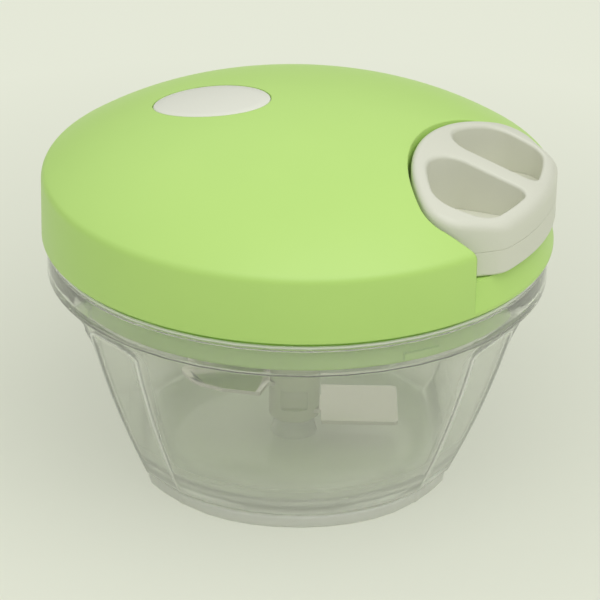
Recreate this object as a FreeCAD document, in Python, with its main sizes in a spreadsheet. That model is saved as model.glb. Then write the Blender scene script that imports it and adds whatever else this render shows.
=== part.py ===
import FreeCAD, Part
import math
import os
import re

import Sketcher

# A hand chopper worked by a pull cord: a clear bowl with a blade stack standing in it, and a domed
# lid that holds a cord spool, its rewind spring and a one-way clutch. Pulling the handle unwinds the
# cord, the spool turns the drive wheel through two pawls, and the wheel's hexagonal socket turns the
# blades. Millimetres, +Z up, +X is the way the handle is pulled, and the origin is the centre of the
# foot's underside.

os.makedirs("parts", exist_ok=True)
doc = FreeCAD.newDocument("pull_cord_chopper")

# --------------------------------------------------------------------------- driving dimensions

SIZES = [
    # bowl
    ("bowl_height", 56.7, "table to the top of the bowl's rim"),
    ("band_radius", 60.5, "outside of the round band under the rim"),
    ("band_height", 5.8, "height of the band"),
    ("shoulder_radius", 59.0, "outside of the tapered wall just under the band"),
    ("base_radius", 42.0, "outside of the tapered wall at the bowl's underside"),
    ("bowl_wall", 2.2, "wall of the bowl"),
    ("bowl_floor", 2.6, "thickness of the bowl's floor"),
    ("floor_fillet", 4.0, "radius between floor and wall"),
    ("shoulder_rise", 1.8, "height over which the wall steps out to the band"),
    ("narrow_facet", 17.5, "angle that each narrow corner facet spans"),
    ("grip_facet", 57.0, "angle that each flat grip side spans"),
    ("narrow_sweep", 6.0, "radius that carries a narrow facet out to the band"),
    ("grip_sweep", 12.0, "radius that carries a flat side out to the band"),
    ("bowl_turn", 22.8, "angle between the bowl's flat sides and the pull direction"),
    ("foot_height", 3.2, "height of the non-slip ring under the bowl"),
    ("foot_radius", 42.9, "outside of the non-slip ring"),
    ("foot_width", 9.5, "width of the non-slip ring"),
    ("tongue", 1.2, "height and width of the ring's tongue in the bowl's floor"),
    ("pin_radius", 2.0, "steel pin that the blade spindle turns on"),
    ("pin_height", 24.0, "table to the top of the pin"),
    ("boss_radius", 4.6, "moulded boss around the pin"),
    ("boss_height", 10.4, "table to the top of the boss"),
    # blades
    ("hub_radius", 6.3, "outside of the spindle's hub"),
    ("hub_top", 38.0, "table to the top of the hub"),
    ("stem_radius", 4.7, "outside of the spindle above its hub"),
    ("window_width", 6.4, "width of the core-out in the front and back of the hub"),
    ("window_height", 5.2, "height of that core-out"),
    ("window_depth", 1.5, "depth of that core-out"),
    ("steel", 1.0, "thickness of the blade steel"),
    ("low_blade", 12.2, "table to the underside of the lowest blade"),
    ("mid_blade", 19.5, "table to the underside of the middle blade"),
    ("high_blade", 31.0, "table to the underside of the highest blade"),
    ("blade_reach", 29.6, "axis to the tip of a swept blade"),
    ("low_reach", 25.8, "axis to the end of the lowest blade"),
    ("blade_width", 19.0, "width of a blade at its root"),
    ("tang_width", 8.0, "width of the tang that is moulded into the hub"),
    ("tang_start", 3.4, "axis to the inner end of a tang"),
    ("blades_turn", 19.5, "angle of the lowest blade from the pull direction when parked"),
    ("hex_width", 8.0, "across the flats of the drive socket"),
    ("hex_height", 4.6, "length of the hexagon on top of the spindle"),
    # lid shell
    ("lid_radius", 62.5, "outside of the lid"),
    ("lid_gap", 2.9, "bowl's rim to the lid shell's lower edge"),
    ("lid_height", 33.0, "lid shell's lower edge to the top of the dome"),
    ("lid_wall", 2.0, "wall of the lid shell"),
    ("crown_radius", 36.0, "where the flat crown turns into the steeper shoulder"),
    ("crown_drop", 4.56, "how far the dome has dropped there"),
    ("edge_inset", 1.2, "inset of the dome's edge from the lid's side"),
    ("edge_drop", 16.0, "how far the dome has dropped at its edge"),
    ("ledge_slope", 1.2, "how far the ledge under the handle leans in"),
    ("label_centre", 22.4, "axis to the centre of the oval label"),
    ("label_length", 28.6, "length of the oval label"),
    ("label_width", 19.6, "width of the oval label"),
    ("label_depth", 0.8, "depth of the label's recess"),
    ("post_radius", 3.6, "screw posts inside the lid shell"),
    ("lid_post_circle", 51.5, "axis to the posts that hold the lid base"),
    ("cup_post_circle", 30.0, "axis to the posts that hold the spring cup"),
    # lid base
    ("base_plate", 2.4, "thickness of the lid base's plate"),
    ("skirt_depth", 5.9, "how far the skirt reaches down into the bowl"),
    ("skirt_wall", 1.8, "wall of the skirt"),
    ("skirt_gap", 0.9, "gap between the skirt and the bowl's band"),
    ("lug_height", 1.8, "height of a bayonet lug"),
    ("lug_span", 9.0, "angle that a bayonet lug spans"),
    ("lug_stand", 0.6, "how far a bayonet lug stands out"),
    ("spigot_height", 3.2, "height of the spigot inside the lid shell"),
    ("seal_squash", 0.4, "gap that the seal fills between rim and lid base"),
    ("seal_width", 1.3, "width of the seal"),
    ("seal_seat", 0.8, "depth of the seal's groove"),
    ("bush_wall", 1.8, "wall of the shaft bush"),
    ("bush_length", 5.0, "length of the shaft bush under its flange"),
    ("flange", 1.0, "thickness of the bush's flange"),
    ("wheel_boss", 8.6, "radius of the drive wheel's boss in the bush"),
    # handle and dock
    ("nose_start", 30.5, "axis to the handle's inner end"),
    ("nose_radius", 40.7, "radius of the handle's inner edge"),
    ("handle_width", 58.2, "width of the handle"),
    ("corner_radius", 7.6, "radius of the handle's wide corners"),
    ("corner_turn", 38.0, "angle at which a wide corner runs out into the slanted end"),
    ("face_round", 8.0, "radius between a slanted end and the outer face"),
    ("handle_radius", 62.6, "axis to the handle's outer face"),
    ("handle_rise", 8.1, "lid shell's lower edge to the handle's underside"),
    ("handle_joint", 6.3, "handle's underside to the joint between its halves"),
    ("roof_rise", 24.7, "handle's underside to the top of the sphere that the handle's top follows"),
    ("roof_radius", 149.0, "radius of that sphere"),
    ("handle_wall", 3.8, "wall between a finger pocket and the handle's nose or outer face"),
    ("end_wall", 5.7, "wall at the wide end of a finger pocket"),
    ("end_lean", 10.0, "angle at which a pocket's wide end leans in towards the outer face"),
    ("handle_floor", 2.0, "thickness of the finger pockets' floor"),
    ("bar_width", 6.0, "width of the bar between the finger pockets"),
    ("bar_round", 6.8, "radius between the bar and the nose wall"),
    ("pocket_round", 4.5, "radius of a pocket's two corners at the outer face"),
    ("wide_round", 4.0, "radius of a pocket's corner between its wide end and the nose wall"),
    ("soft_edge", 1.2, "bevel between the handle's top and its outer face"),
    ("dock_gap", 0.8, "gap between the handle and its dock"),
    ("dock_wall", 1.8, "wall and floor of the dock"),
    ("handle_lift", 0.2, "gap between the handle's underside and the dock's floor"),
    # cord drive
    ("cord", 1.8, "diameter of the pull cord"),
    ("turns", 3, "turns of cord on the spool"),
    ("drum_radius", 15.0, "radius of the drum that the cord winds on"),
    ("flange_radius", 24.6, "radius of the spool's flanges"),
    ("flange_wall", 1.5, "thickness of the spool's flanges"),
    ("sleeve_radius", 6.5, "outside of the spool's sleeve"),
    ("axle_radius", 2.5, "radius of the spool's axle"),
    ("axle_boss", 5.0, "radius of the boss that holds the axle in the lid shell"),
    ("guide_bore", 1.9, "radius of the cord guide's bore"),
    ("guide_radius", 3.0, "radius of the cord guide in the dock's wall"),
    ("guide_flange", 4.2, "radius of the cord guide's flange"),
    ("ferrule_radius", 2.3, "radius of the crimped ferrule on the cord's end"),
    ("ferrule_length", 4.0, "length of that ferrule"),
    ("ferrule_start", 35.4, "axis to that ferrule"),
    ("cup_radius", 24.0, "outside of the spring cup"),
    ("cup_wall", 1.5, "wall and floor of the spring cup"),
    ("ribbon_width", 5.0, "width of the rewind spring's ribbon"),
    ("ribbon", 0.4, "thickness of the rewind spring's ribbon"),
    ("spring_turns", 8, "turns of the rewind spring"),
    ("ratchet_radius", 20.0, "outside of the drive wheel's ratchet ring"),
    ("tooth_root", 18.4, "radius at the roots of the ratchet's teeth"),
    ("tooth_tip", 16.2, "radius at the tips of the ratchet's teeth"),
    ("teeth", 12, "teeth in the ratchet ring"),
    ("wheel_floor", 1.5, "thickness of the drive wheel's floor"),
    ("pawl_height", 3.4, "height of a pawl"),
    ("pawl_circle", 12.4, "axis to a pawl's pin"),
    ("pawl_lag", 58.0, "angle from a pawl's pin to the tooth ahead of it"),
    ("pawl_boss", 2.6, "radius of a pawl around its pin"),
    ("pawl_pin", 1.2, "radius of a pawl's pin"),
    ("carrier_wall", 1.5, "thickness of the pawl carrier"),
    ("carrier_radius", 17.6, "radius of the pawl carrier"),
    ("carrier_hex", 9.6, "across the flats of the hexagon that carries the pawl carrier"),
    ("screw_radius", 1.3, "radius of a screw's shank"),
    ("screw_head", 2.7, "radius of a screw's head"),
    ("head_height", 1.6, "height of a screw's head"),
    # clearances
    ("running", 0.06, "radial clearance of a running fit"),
    ("slip", 0.15, "clearance of a part that is laid or pushed into its seat"),
    ("apart", 0.3, "clearance between parts that turn past each other"),
]

sheet = doc.addObject("Spreadsheet::Sheet", "Sizes")
for row, (name, value, note) in enumerate(SIZES, 1):
    sheet.set(f"A{row}", name)
    sheet.set(f"B{row}", str(value))
    sheet.set(f"C{row}", note)
    sheet.setAlias(f"B{row}", name)
doc.recompute()

# ------------------------------------------------------------- levels worked out from the sheet

SIZE_NAMES = {name for name, value, note in SIZES}
LEVELS = doc.addObject("App::VarSet", "Levels")
WORD = re.compile(r"[a-z][a-z_0-9]*")
level_names = set()


def bind(text):
    """An expression in plain names, with each name pointed at the sheet or at a level."""

    def owner(match):
        word = match.group()
        if word in SIZE_NAMES:
            return "Sizes." + word
        if word in level_names:
            return "Levels." + word
        return word

    return WORD.sub(owner, str(text))


def value_of(text):
    return float(LEVELS.evalExpression(bind(text)))


def level(name, text):
    LEVELS.addProperty("App::PropertyFloat", name)
    LEVELS.setExpression(name, bind(text))
    level_names.add(name)
    doc.recompute()


# bowl
level("floor_top", "foot_height + bowl_floor")
level("band_foot", "bowl_height - band_height")
level("taper", "(shoulder_radius - base_radius) / (band_foot - foot_height)")
level("taper_length", "sqrt(1 + taper * taper)")
# lid and handle, from the rim up
level("lid_edge", "bowl_height + lid_gap")
level("lid_top", "lid_edge + lid_height")
level("handle_base", "lid_edge + handle_rise")
level("handle_split", "handle_base + handle_joint")
level("roof_top", "handle_base + roof_rise")
# lid base, from the rim up
level("base_under", "bowl_height + seal_squash")
level("base_top", "base_under + base_plate")
level("skirt_radius", "band_radius - bowl_wall - skirt_gap")
level("skirt_foot", "base_under - skirt_depth")
level("base_radius_out", "lid_radius - lid_wall - slip")
level("bush_bore", "wheel_boss + running")
level("bush_radius", "bush_bore + bush_wall")
level("bush_top", "base_top + flange")
# drive wheel, clutch, spring and spool, each standing on the one below
level("wheel_base", "bush_top + apart")
level("ratchet_base", "wheel_base + wheel_floor")
level("pawl_base", "ratchet_base + apart")
level("pawl_top", "pawl_base + pawl_height")
level("ratchet_top", "pawl_top")
level("carrier_base", "pawl_top + apart")
level("carrier_top", "carrier_base + carrier_wall")
level("cup_base", "carrier_top + apart")
level("cup_floor", "cup_base + cup_wall")
level("spring_base", "cup_floor + apart")
level("cup_top", "spring_base + ribbon_width + apart")
level("spool_base", "cup_top + apart")
level("drum_base", "spool_base + flange_wall")
level("drum_top", "drum_base + turns * cord + apart * 2")
level("spool_top", "drum_top + flange_wall")
level("cord_height", "(drum_base + drum_top) / 2")
level("wound_radius", "drum_radius + cord / 2 + slip")
level("socket_base", "base_under - bush_length + base_plate")
level("hex_top", "socket_base - apart + hex_height")
# dome: a flat crown arc, a tangent shoulder arc and a tangent edge arc
level("crown_arc", "(crown_radius * crown_radius + crown_drop * crown_drop) / (2 * crown_drop)")
level("crown_sin", "crown_radius / crown_arc")
level("crown_cos", "sqrt(1 - crown_sin * crown_sin)")
level("edge_radius", "lid_radius - edge_inset")
level("shoulder_run", "edge_radius - crown_radius")
level("shoulder_fall", "edge_drop - crown_drop")
level("shoulder_chord", "shoulder_run * shoulder_run + shoulder_fall * shoulder_fall")
level("shoulder_arc", "shoulder_chord / (2 * (shoulder_fall * crown_cos - shoulder_run * crown_sin))")
level("edge_sin", "(shoulder_run + shoulder_arc * crown_sin) / shoulder_arc")
level("edge_cos", "sqrt(1 - edge_sin * edge_sin)")
level("edge_arc", "edge_inset / (1 - edge_sin)")
level("side_top", "lid_top - edge_drop - edge_arc * edge_cos")
# handle outline: nose arc about (nose_centre, 0), wide corners about (corner_x, +/- corner_y)
level("nose_centre", "nose_start + nose_radius")
level("corner_y", "handle_width / 2 - corner_radius")
level("nose_reach", "nose_radius - corner_radius")
level("corner_x", "nose_centre - sqrt(nose_reach * nose_reach - corner_y * corner_y)")
level("dock_floor", "handle_base - handle_lift")
level("dock_under", "dock_floor - dock_wall")
level("dock_half", "handle_width / 2 + dock_gap")
level("nose_hole", "nose_start - dock_gap - dock_wall")

# --------------------------------------------------------------------------------- small helpers

PLANES = {"XY": "XY_Plane", "XZ": "XZ_Plane", "YZ": "YZ_Plane"}
PARTS = {}
UP = FreeCAD.Vector(0, 0, 1)


def new_body(label, hand_in=True):
    body = doc.addObject("PartDesign::Body", label)
    body.Label = label
    if hand_in:
        PARTS[label] = body
    return body


def new_sketch(body, name, plane="XY", offset="0", turn="0"):
    """A sketch on one of the body's origin planes, moved along its normal and turned about Z."""
    sketch = body.newObject("Sketcher::SketchObject", name)
    support = [item for item in body.Origin.OriginFeatures if item.Role == PLANES[plane]][0]
    sketch.AttachmentSupport = [(support, "")]
    sketch.MapMode = "FlatFace"
    spin = FreeCAD.Vector(0, 0, 1) if plane == "XY" else FreeCAD.Vector(0, 1, 0)
    rotation = FreeCAD.Rotation(spin, value_of(turn))
    sketch.AttachmentOffset = FreeCAD.Placement(FreeCAD.Vector(0, 0, value_of(offset)), rotation)
    if str(offset) != "0":
        sketch.setExpression("AttachmentOffset.Base.z", bind(offset))
    return sketch


def pin_point(sketch, edge, end, x, y):
    """Hold one end of a sketch edge at (x, y), both given as expressions."""
    for kind, text in (("DistanceX", x), ("DistanceY", y)):
        index = sketch.addConstraint(Sketcher.Constraint(kind, -1, 1, edge, end, value_of(text)))
        sketch.setExpression(f"Constraints[{index}]", bind(text))


def draw_outline(sketch, points):
    """A closed outline. A point is (x, y) or (x, y, radius): the radius makes the stretch to the next
    point an arc, with its centre to the left of the way along the outline, or to the right if it is
    given with a leading minus."""
    ends = []
    for here, after in zip(points, points[1:] + points[:1]):
        start = FreeCAD.Vector(value_of(here[0]), value_of(here[1]), 0)
        stop = FreeCAD.Vector(value_of(after[0]), value_of(after[1]), 0)
        if len(here) == 2:
            edge = sketch.addGeometry(Part.LineSegment(start, stop), False)
            ends.append((edge, 1, 2))
            continue
        to_left = not here[2].startswith("-")
        radius = value_of(here[2].lstrip("-"))
        chord = stop - start
        sideways = FreeCAD.Vector(-chord.y, chord.x, 0).normalize() * (1 if to_left else -1)
        centre = (start + stop) * 0.5 + sideways * math.sqrt(max(radius**2 - (chord.Length / 2) ** 2, 0))
        first, last = (start, stop) if to_left else (stop, start)
        low = math.atan2(first.y - centre.y, first.x - centre.x)
        high = math.atan2(last.y - centre.y, last.x - centre.x)
        if high < low:
            high += 2 * math.pi
        edge = sketch.addGeometry(Part.ArcOfCircle(Part.Circle(centre, UP, radius), low, high), False)
        ends.append((edge, 1, 2) if to_left else (edge, 2, 1))
        index = sketch.addConstraint(Sketcher.Constraint("Radius", edge, radius))
        sketch.setExpression(f"Constraints[{index}]", bind(here[2].lstrip("-")))
    for (edge, first, last), (later, start, stop) in zip(ends, ends[1:] + ends[:1]):
        sketch.addConstraint(Sketcher.Constraint("Coincident", edge, last, later, start))
    for (edge, first, last), point in zip(ends, points):
        pin_point(sketch, edge, first, point[0], point[1])


def draw_circle(sketch, x, y, radius):
    centre = FreeCAD.Vector(value_of(x), value_of(y), 0)
    edge = sketch.addGeometry(Part.Circle(centre, UP, value_of(radius)), False)
    index = sketch.addConstraint(Sketcher.Constraint("Radius", edge, value_of(radius)))
    sketch.setExpression(f"Constraints[{index}]", bind(radius))
    pin_point(sketch, edge, 3, x, y)


def draw(sketch, shapes):
    """Circles are (x, y, radius) tuples, outlines are lists of points."""
    for shape in shapes:
        if isinstance(shape, tuple):
            draw_circle(sketch, *shape)
        else:
            draw_outline(sketch, shape)


def rectangle(x_low, x_high, y_low, y_high):
    return [(x_low, y_low), (x_high, y_low), (x_high, y_high), (x_low, y_high)]


def hexagon(across):
    """A regular hexagon about the origin, two corners on the X axis, given across its flats."""
    corner = f"({across}) / sqrt(3)"
    half = f"({across}) / sqrt(3) / 2"
    side = f"({across}) / 2"
    return [(corner, "0"), (half, side), ("-" + half, side),
            ("-" + corner, "0"), ("-" + half, "-" + side), (half, "-" + side)]


def lathe(body, name, points, cut=False, sweep=None):
    """Turn a profile of (radius, height) points about the Z axis, all round or by sweep degrees."""
    sketch = new_sketch(body, name + "_profile", "XZ")
    draw(sketch, [points])
    kind = "PartDesign::Groove" if cut else "PartDesign::Revolution"
    feature = body.newObject(kind, name)
    feature.Profile = sketch
    feature.ReferenceAxis = (sketch, ["V_Axis"])
    feature.Angle = 360
    if sweep:
        feature.Midplane = True
        feature.setExpression("Angle", bind(sweep))
    body.Tip = feature
    return feature


def prism(body, name, base, height, shapes, cut=False, plane="XY", turn="0", both_ways=False):
    """Push shapes up from the level base by height, along the plane's normal, adding or cutting."""
    sketch = new_sketch(body, name + "_outline", plane, base, turn)
    draw(sketch, shapes)
    feature = body.newObject("PartDesign::Pocket" if cut else "PartDesign::Pad", name)
    feature.Profile = sketch
    feature.Type = "Length"
    if both_ways:
        feature.SideType = "Symmetric"
    elif cut:
        feature.Reversed = True
    feature.Length = value_of(height)
    feature.setExpression("Length", bind(height))
    body.Tip = feature
    return feature


def around(body, name, feature, count):
    """Repeat a feature evenly about the Z axis."""
    pattern = body.newObject("PartDesign::PolarPattern", name)
    pattern.Originals = [feature]
    axis = [item for item in body.Origin.OriginFeatures if item.Role == "Z_Axis"][0]
    pattern.Axis = (axis, [""])
    pattern.Angle = 360
    pattern.Occurrences = int(count)
    body.Tip = pattern
    return pattern


def mirrored(body, name, features):
    """Repeat features on the other side of the XZ plane."""
    pattern = body.newObject("PartDesign::Mirrored", name)
    pattern.Originals = features
    plane = [item for item in body.Origin.OriginFeatures if item.Role == "XZ_Plane"][0]
    pattern.MirrorPlane = (plane, [""])
    body.Tip = pattern
    return pattern


def combined(kind, label, base, tool, hand_in=True):
    """A Part::Cut or Part::Common of two objects."""
    result = doc.addObject(kind, label)
    result.Label = label
    result.Base = base
    result.Tool = tool
    if hand_in:
        PARTS[label] = result
    return result


def turned(part, angle):
    """Stand a finished part on the axis at an angle about Z."""
    part.Placement = FreeCAD.Placement(FreeCAD.Vector(0, 0, 0), FreeCAD.Rotation(UP, value_of(angle)))
    part.setExpression("Placement.Rotation.Angle", bind(angle))


def polar(radius, angle):
    """The point at a radius and an angle in degrees, as a pair of expressions."""
    return f"({radius}) * cos({angle})", f"({radius}) * sin({angle})"


def sector(low_radius, high_radius, start, stop):
    """A piece of a ring about the Z axis."""
    return [polar(low_radius, start), polar(high_radius, start) + (high_radius,),
            polar(high_radius, stop), polar(low_radius, stop) + ("-" + low_radius,)]


# ------------------------------------------------------------------------------------------ bowl


def wall_point(height, inset):
    """A point of the tapered wall at a height, moved in by inset square to the wall."""
    radius = f"base_radius + taper * ({height} - foot_height) - ({inset}) * taper_length"
    return radius, height


def bowl_solid(label, inset, base, top, step):
    """The bowl's outside as a solid, or with an inset its hollow: tapered, with a round band. The wall
    steps out to the band over the height step."""
    body = new_body(label, hand_in=False)
    corner = wall_point(base, inset)[0]
    tangent = "floor_fillet * (taper_length - taper)"
    lathe(body, "wall", [
        ("0", base),
        (f"{corner} - {tangent}", base, "floor_fillet"),
        (f"{corner} + {tangent} * taper / taper_length", f"{base} + {tangent} / taper_length"),
        wall_point(f"(band_foot - {step})", inset),
        (f"band_radius - {inset}", "band_foot"),
        (f"band_radius - {inset}", top),
        ("0", top),
    ])
    return body


def cut_facet(body, name, azimuth, span, sweep, swing, inset):
    """Cut one flat of the bowl, with a hollow sweep at its top that runs out to the round band.
    swing is the angle through which the sweep turns."""
    cosine = f"cos({span} / 2)"
    lean = f"(taper * {cosine})"
    length = f"sqrt(1 + {lean} * {lean})"
    out_u, out_z = f"(1 / {length})", f"(-{lean} / {length})"
    rise = (f"({sweep} * ((sin({swing}) / {length} + cos({swing}) * {lean} / {length}) "
            f"- {lean} / {length}))")
    # low enough for the sweep on the inside, which ends about a wall higher, to stay under the band
    sweep_base = f"(band_foot - 0.4 - bowl_wall - {rise})"

    def face(height):
        """The point of the flat at a height, moved in by inset square to it."""
        outside = f"(base_radius + taper * ({height} - foot_height)) * {cosine}"
        return f"{outside} - {inset} * {out_u}", f"{height} - {inset} * {out_z}"

    low = face("0")
    high = face(sweep_base)
    # the sweep keeps its centre on inside and outside, so its radius grows by the wall
    radius = f"({sweep} + {inset})"
    centre = (f"({high[0]} + {radius} * {out_u})", f"({high[1]} + {radius} * {out_z})")
    end = (f"{centre[0]} - {radius} * (cos({swing}) / {length} - sin({swing}) * {lean} / {length})",
           f"{centre[1]} + {radius} * (sin({swing}) / {length} + cos({swing}) * {lean} / {length})")
    outline = [low, high + ("-" + radius,), end, ("band_radius + 10", end[1]), ("band_radius + 10", low[1])]
    prism(body, name, "0", "2 * band_radius", [outline], cut=True, plane="XZ", turn=azimuth,
          both_ways=True)


def cut_facets(body, inset):
    """Two flat grip sides, and a narrow facet at each of their ends."""
    for side in ("0", "180"):
        cut_facet(body, f"grip_{side}", side, "grip_facet", "grip_sweep", "70", inset)
    beside = "(grip_facet + narrow_facet) / 2"
    for number, azimuth in enumerate((beside, f"180 - {beside}", f"180 + {beside}", f"360 - {beside}")):
        cut_facet(body, f"narrow_{number}", azimuth, "narrow_facet", "narrow_sweep", "50", inset)


def make_bowl():
    outside = bowl_solid("bowl_outside", "0", "foot_height", "bowl_height", "shoulder_rise")
    cut_facets(outside, "0")
    groove = [("foot_radius - foot_width / 2 - tongue / 2 - slip", "foot_height - 1"),
              ("foot_radius - foot_width / 2 + tongue / 2 + slip", "foot_height - 1"),
              ("foot_radius - foot_width / 2 + tongue / 2 + slip", "foot_height + tongue + slip"),
              ("foot_radius - foot_width / 2 - tongue / 2 - slip", "foot_height + tongue + slip")]
    lathe(outside, "foot_groove", groove, cut=True)

    hollow = bowl_solid("bowl_hollow", "bowl_wall", "floor_top", "bowl_height + 5", "shoulder_rise / 3")
    cut_facets(hollow, "bowl_wall")
    # the boss around the pin is left standing in the hollow
    lathe(hollow, "pin_boss", [("0", "floor_top - 1"), ("boss_radius + 1.2", "floor_top - 1"),
                               ("boss_radius + 1.2", "floor_top"), ("boss_radius", "boss_height"),
                               ("0", "boss_height")], cut=True)
    inner = "(band_radius - bowl_wall)"
    lug_low, lug_high = "(base_under - lug_height - 0.6)", "lug_height * 0.9"
    lug = prism(hollow, "lock_lug", lug_low, lug_high,
                [sector(f"({inner} - lug_stand)", f"({inner} + 1)", "67 - bowl_turn",
                        "67 + lug_span - bowl_turn")], cut=True)
    around(hollow, "lock_lugs", lug, 4)

    shell = combined("Part::Cut", "bowl_shell", outside, hollow, hand_in=False)
    bore = doc.addObject("Part::Cylinder", "pin_seat")
    bore.setExpression("Radius", bind("pin_radius + slip / 10"))
    bore.setExpression("Height", bind("boss_height"))
    bore.setExpression("Placement.Base.z", bind("foot_height + bowl_floor / 3"))
    bowl = combined("Part::Cut", "bowl", shell, bore)
    turned(bowl, "bowl_turn")

    foot = new_body("non_slip_foot")
    middle = "(foot_radius - foot_width / 2)"
    lathe(foot, "ring", [
        ("foot_radius - foot_width", "0"),
        ("foot_radius - 0.6", "0"),
        ("foot_radius", "0.6"),
        ("foot_radius", "foot_height"),
        (f"{middle} + tongue / 2", "foot_height"),
        (f"{middle} + tongue / 2", "foot_height + tongue"),
        (f"{middle} - tongue / 2", "foot_height + tongue"),
        (f"{middle} - tongue / 2", "foot_height"),
        ("foot_radius - foot_width", "foot_height"),
    ])

    pin = new_body("blade_pin")
    lathe(pin, "turned", [("0", "foot_height + bowl_floor / 3"), ("pin_radius", "foot_height + bowl_floor / 3"),
                          ("pin_radius", "pin_height - 0.8"), ("pin_radius - 0.8", "pin_height"),
                          ("0", "pin_height")])


# ---------------------------------------------------------------------------------------- blades


def make_blades():
    spindle = new_body("blade_spindle")
    foot = "(boss_height + apart)"
    lathe(spindle, "post", [
        ("pin_radius + running", foot),
        ("hub_radius", foot),
        ("hub_radius", "hub_top"),
        ("stem_radius", "hub_top + 3"),
        ("stem_radius", "hex_top - hex_height"),
        ("0", "hex_top - hex_height"),
        ("0", "pin_height + apart"),
        ("pin_radius + running", "pin_height + apart"),
    ])
    prism(spindle, "drive_hexagon", "hex_top - hex_height", "hex_height",
          [hexagon("hex_width - 2 * slip")])
    window = rectangle("-window_width / 2", "window_width / 2",
                       "mid_blade - 0.6 - window_height", "mid_blade - 0.6")
    front = prism(spindle, "window", "hub_radius - window_depth", "window_depth + 1", [window],
                  cut=True, plane="XZ")
    mirrored(spindle, "windows", [front])
    slot = rectangle("tang_start", "hub_radius + 2", "-tang_width / 2", "tang_width / 2")
    for name, base, turn in (("low", "low_blade", "0"), ("mid", "mid_blade", "180"),
                             ("high", "high_blade", "90")):
        prism(spindle, name + "_slot", base, "steel", [slot], cut=True, turn=turn)
    turned(spindle, "blades_turn")

    tang = [("tang_start", "-tang_width / 2"), ("hub_radius + 0.4", "-tang_width / 2")]
    root = "hub_radius + 2.2"
    half = "blade_width / 2"
    low = new_body("blade_lower")
    prism(low, "plate", "low_blade", "steel", [tang + [
        (root, f"-{half}"),
        ("low_reach - 2", f"-{half}", "2"),
        ("low_reach", f"-{half} + 2"),
        ("low_reach", f"{half} - 4", "4"),
        ("low_reach - 4", half),
        (root, half),
        ("hub_radius + 0.4", "tang_width / 2"),
        ("tang_start", "tang_width / 2"),
    ]])
    turned(low, "blades_turn")
    for label, base, turn in (("blade_middle", "mid_blade", "blades_turn + 180"),
                              ("blade_upper", "high_blade", "blades_turn + 90")):
        blade = new_body(label)
        prism(blade, "plate", base, "steel", [tang + [
            (root, f"-{half} + 2"),
            ("blade_reach - 1", "-blade_width / 5"),
            ("blade_reach", "-blade_width / 10", "2 * blade_reach"),
            (root, half),
            ("hub_radius + 0.4", "tang_width / 2"),
            ("tang_start", "tang_width / 2"),
        ]])
        turned(blade, turn)


# --------------------------------------------------------------------------------------- lid shell


def dome_points(inset):
    """The dome from the axis to its side wall, moved in by inset."""
    return [
        ("0", f"lid_top - {inset}", f"-(crown_arc - {inset})"),
        (f"crown_radius - {inset} * crown_sin", f"lid_top - crown_drop - {inset} * crown_cos",
         f"-(shoulder_arc - {inset})"),
        (f"edge_radius - {inset} * edge_sin", f"lid_top - edge_drop - {inset} * edge_cos",
         f"-(edge_arc - {inset})"),
        (f"lid_radius - {inset}", "side_top"),
    ]


def scaled(x, y, share):
    return f"({x}) * ({share})", f"({y}) * ({share})"


def last_round(x, y, first, second, face, lean):
    """A line leaves the round first about (x, y) at the angle lean, and the round second carries it
    into the circle face about the axis. The centre of the round second."""
    line_x = f"({x} + ({first} - {second}) * sin({lean}))"
    line_y = f"({y} + ({first} - {second}) * cos({lean}))"
    along = f"({line_x} * cos({lean}) - {line_y} * sin({lean}))"
    reach = f"(sqrt({along} ^ 2 - {line_x} ^ 2 - {line_y} ^ 2 + ({face} - {second}) ^ 2) - {along})"
    return f"({line_x} + {reach} * cos({lean}))", f"({line_y} - {reach} * sin({lean}))"


def outline_points(grow):
    """The handle's outline seen from above, grown by grow: nose, wide corners, slanted ends and outer
    face, with a tangent round at each corner."""
    corner = f"(corner_radius + {grow})"
    blend = f"(face_round + {grow})"
    face = f"(handle_radius + {grow})"
    nose_share = f"((nose_radius + {grow}) / nose_reach)"
    meet_x, meet_y = f"nose_centre + (corner_x - nose_centre) * {nose_share}", f"corner_y * {nose_share}"
    leave_x, leave_y = f"corner_x + {corner} * sin(corner_turn)", f"(corner_y + {corner} * cos(corner_turn))"
    last_x, last_y = last_round("corner_x", "corner_y", corner, blend, face, "corner_turn")
    slant_x, slant_y = f"{last_x} + {blend} * sin(corner_turn)", f"({last_y} + {blend} * cos(corner_turn))"
    end_x, end_y = scaled(last_x, last_y, f"{face} / ({face} - {blend})")
    return [
        (end_x, f"-({end_y})", face),
        (end_x, end_y, blend),
        (slant_x, slant_y),
        (leave_x, leave_y, corner),
        (meet_x, meet_y, f"(nose_radius + {grow})"),
        (meet_x, f"-({meet_y})", corner),
        (leave_x, f"-{leave_y}"),
        (slant_x, f"-{slant_y}", blend),
    ]


def dock_points(grow):
    """The dock's outline: the handle's nose and corners grown by grow, then straight out in +X."""
    corner = f"(corner_radius + {grow})"
    share = f"((nose_radius + {grow}) / nose_reach)"
    meet = (f"nose_centre + (corner_x - nose_centre) * {share}", f"corner_y * {share}")
    side = f"(handle_width / 2 + {grow})"
    return [
        ("lid_radius + 8", f"-{side}"),
        ("lid_radius + 8", side),
        ("corner_x", side, corner),
        (meet[0], meet[1], f"(nose_radius + {grow})"),
        (meet[0], f"-({meet[1]})", corner),
        ("corner_x", f"-{side}"),
    ]


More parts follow.
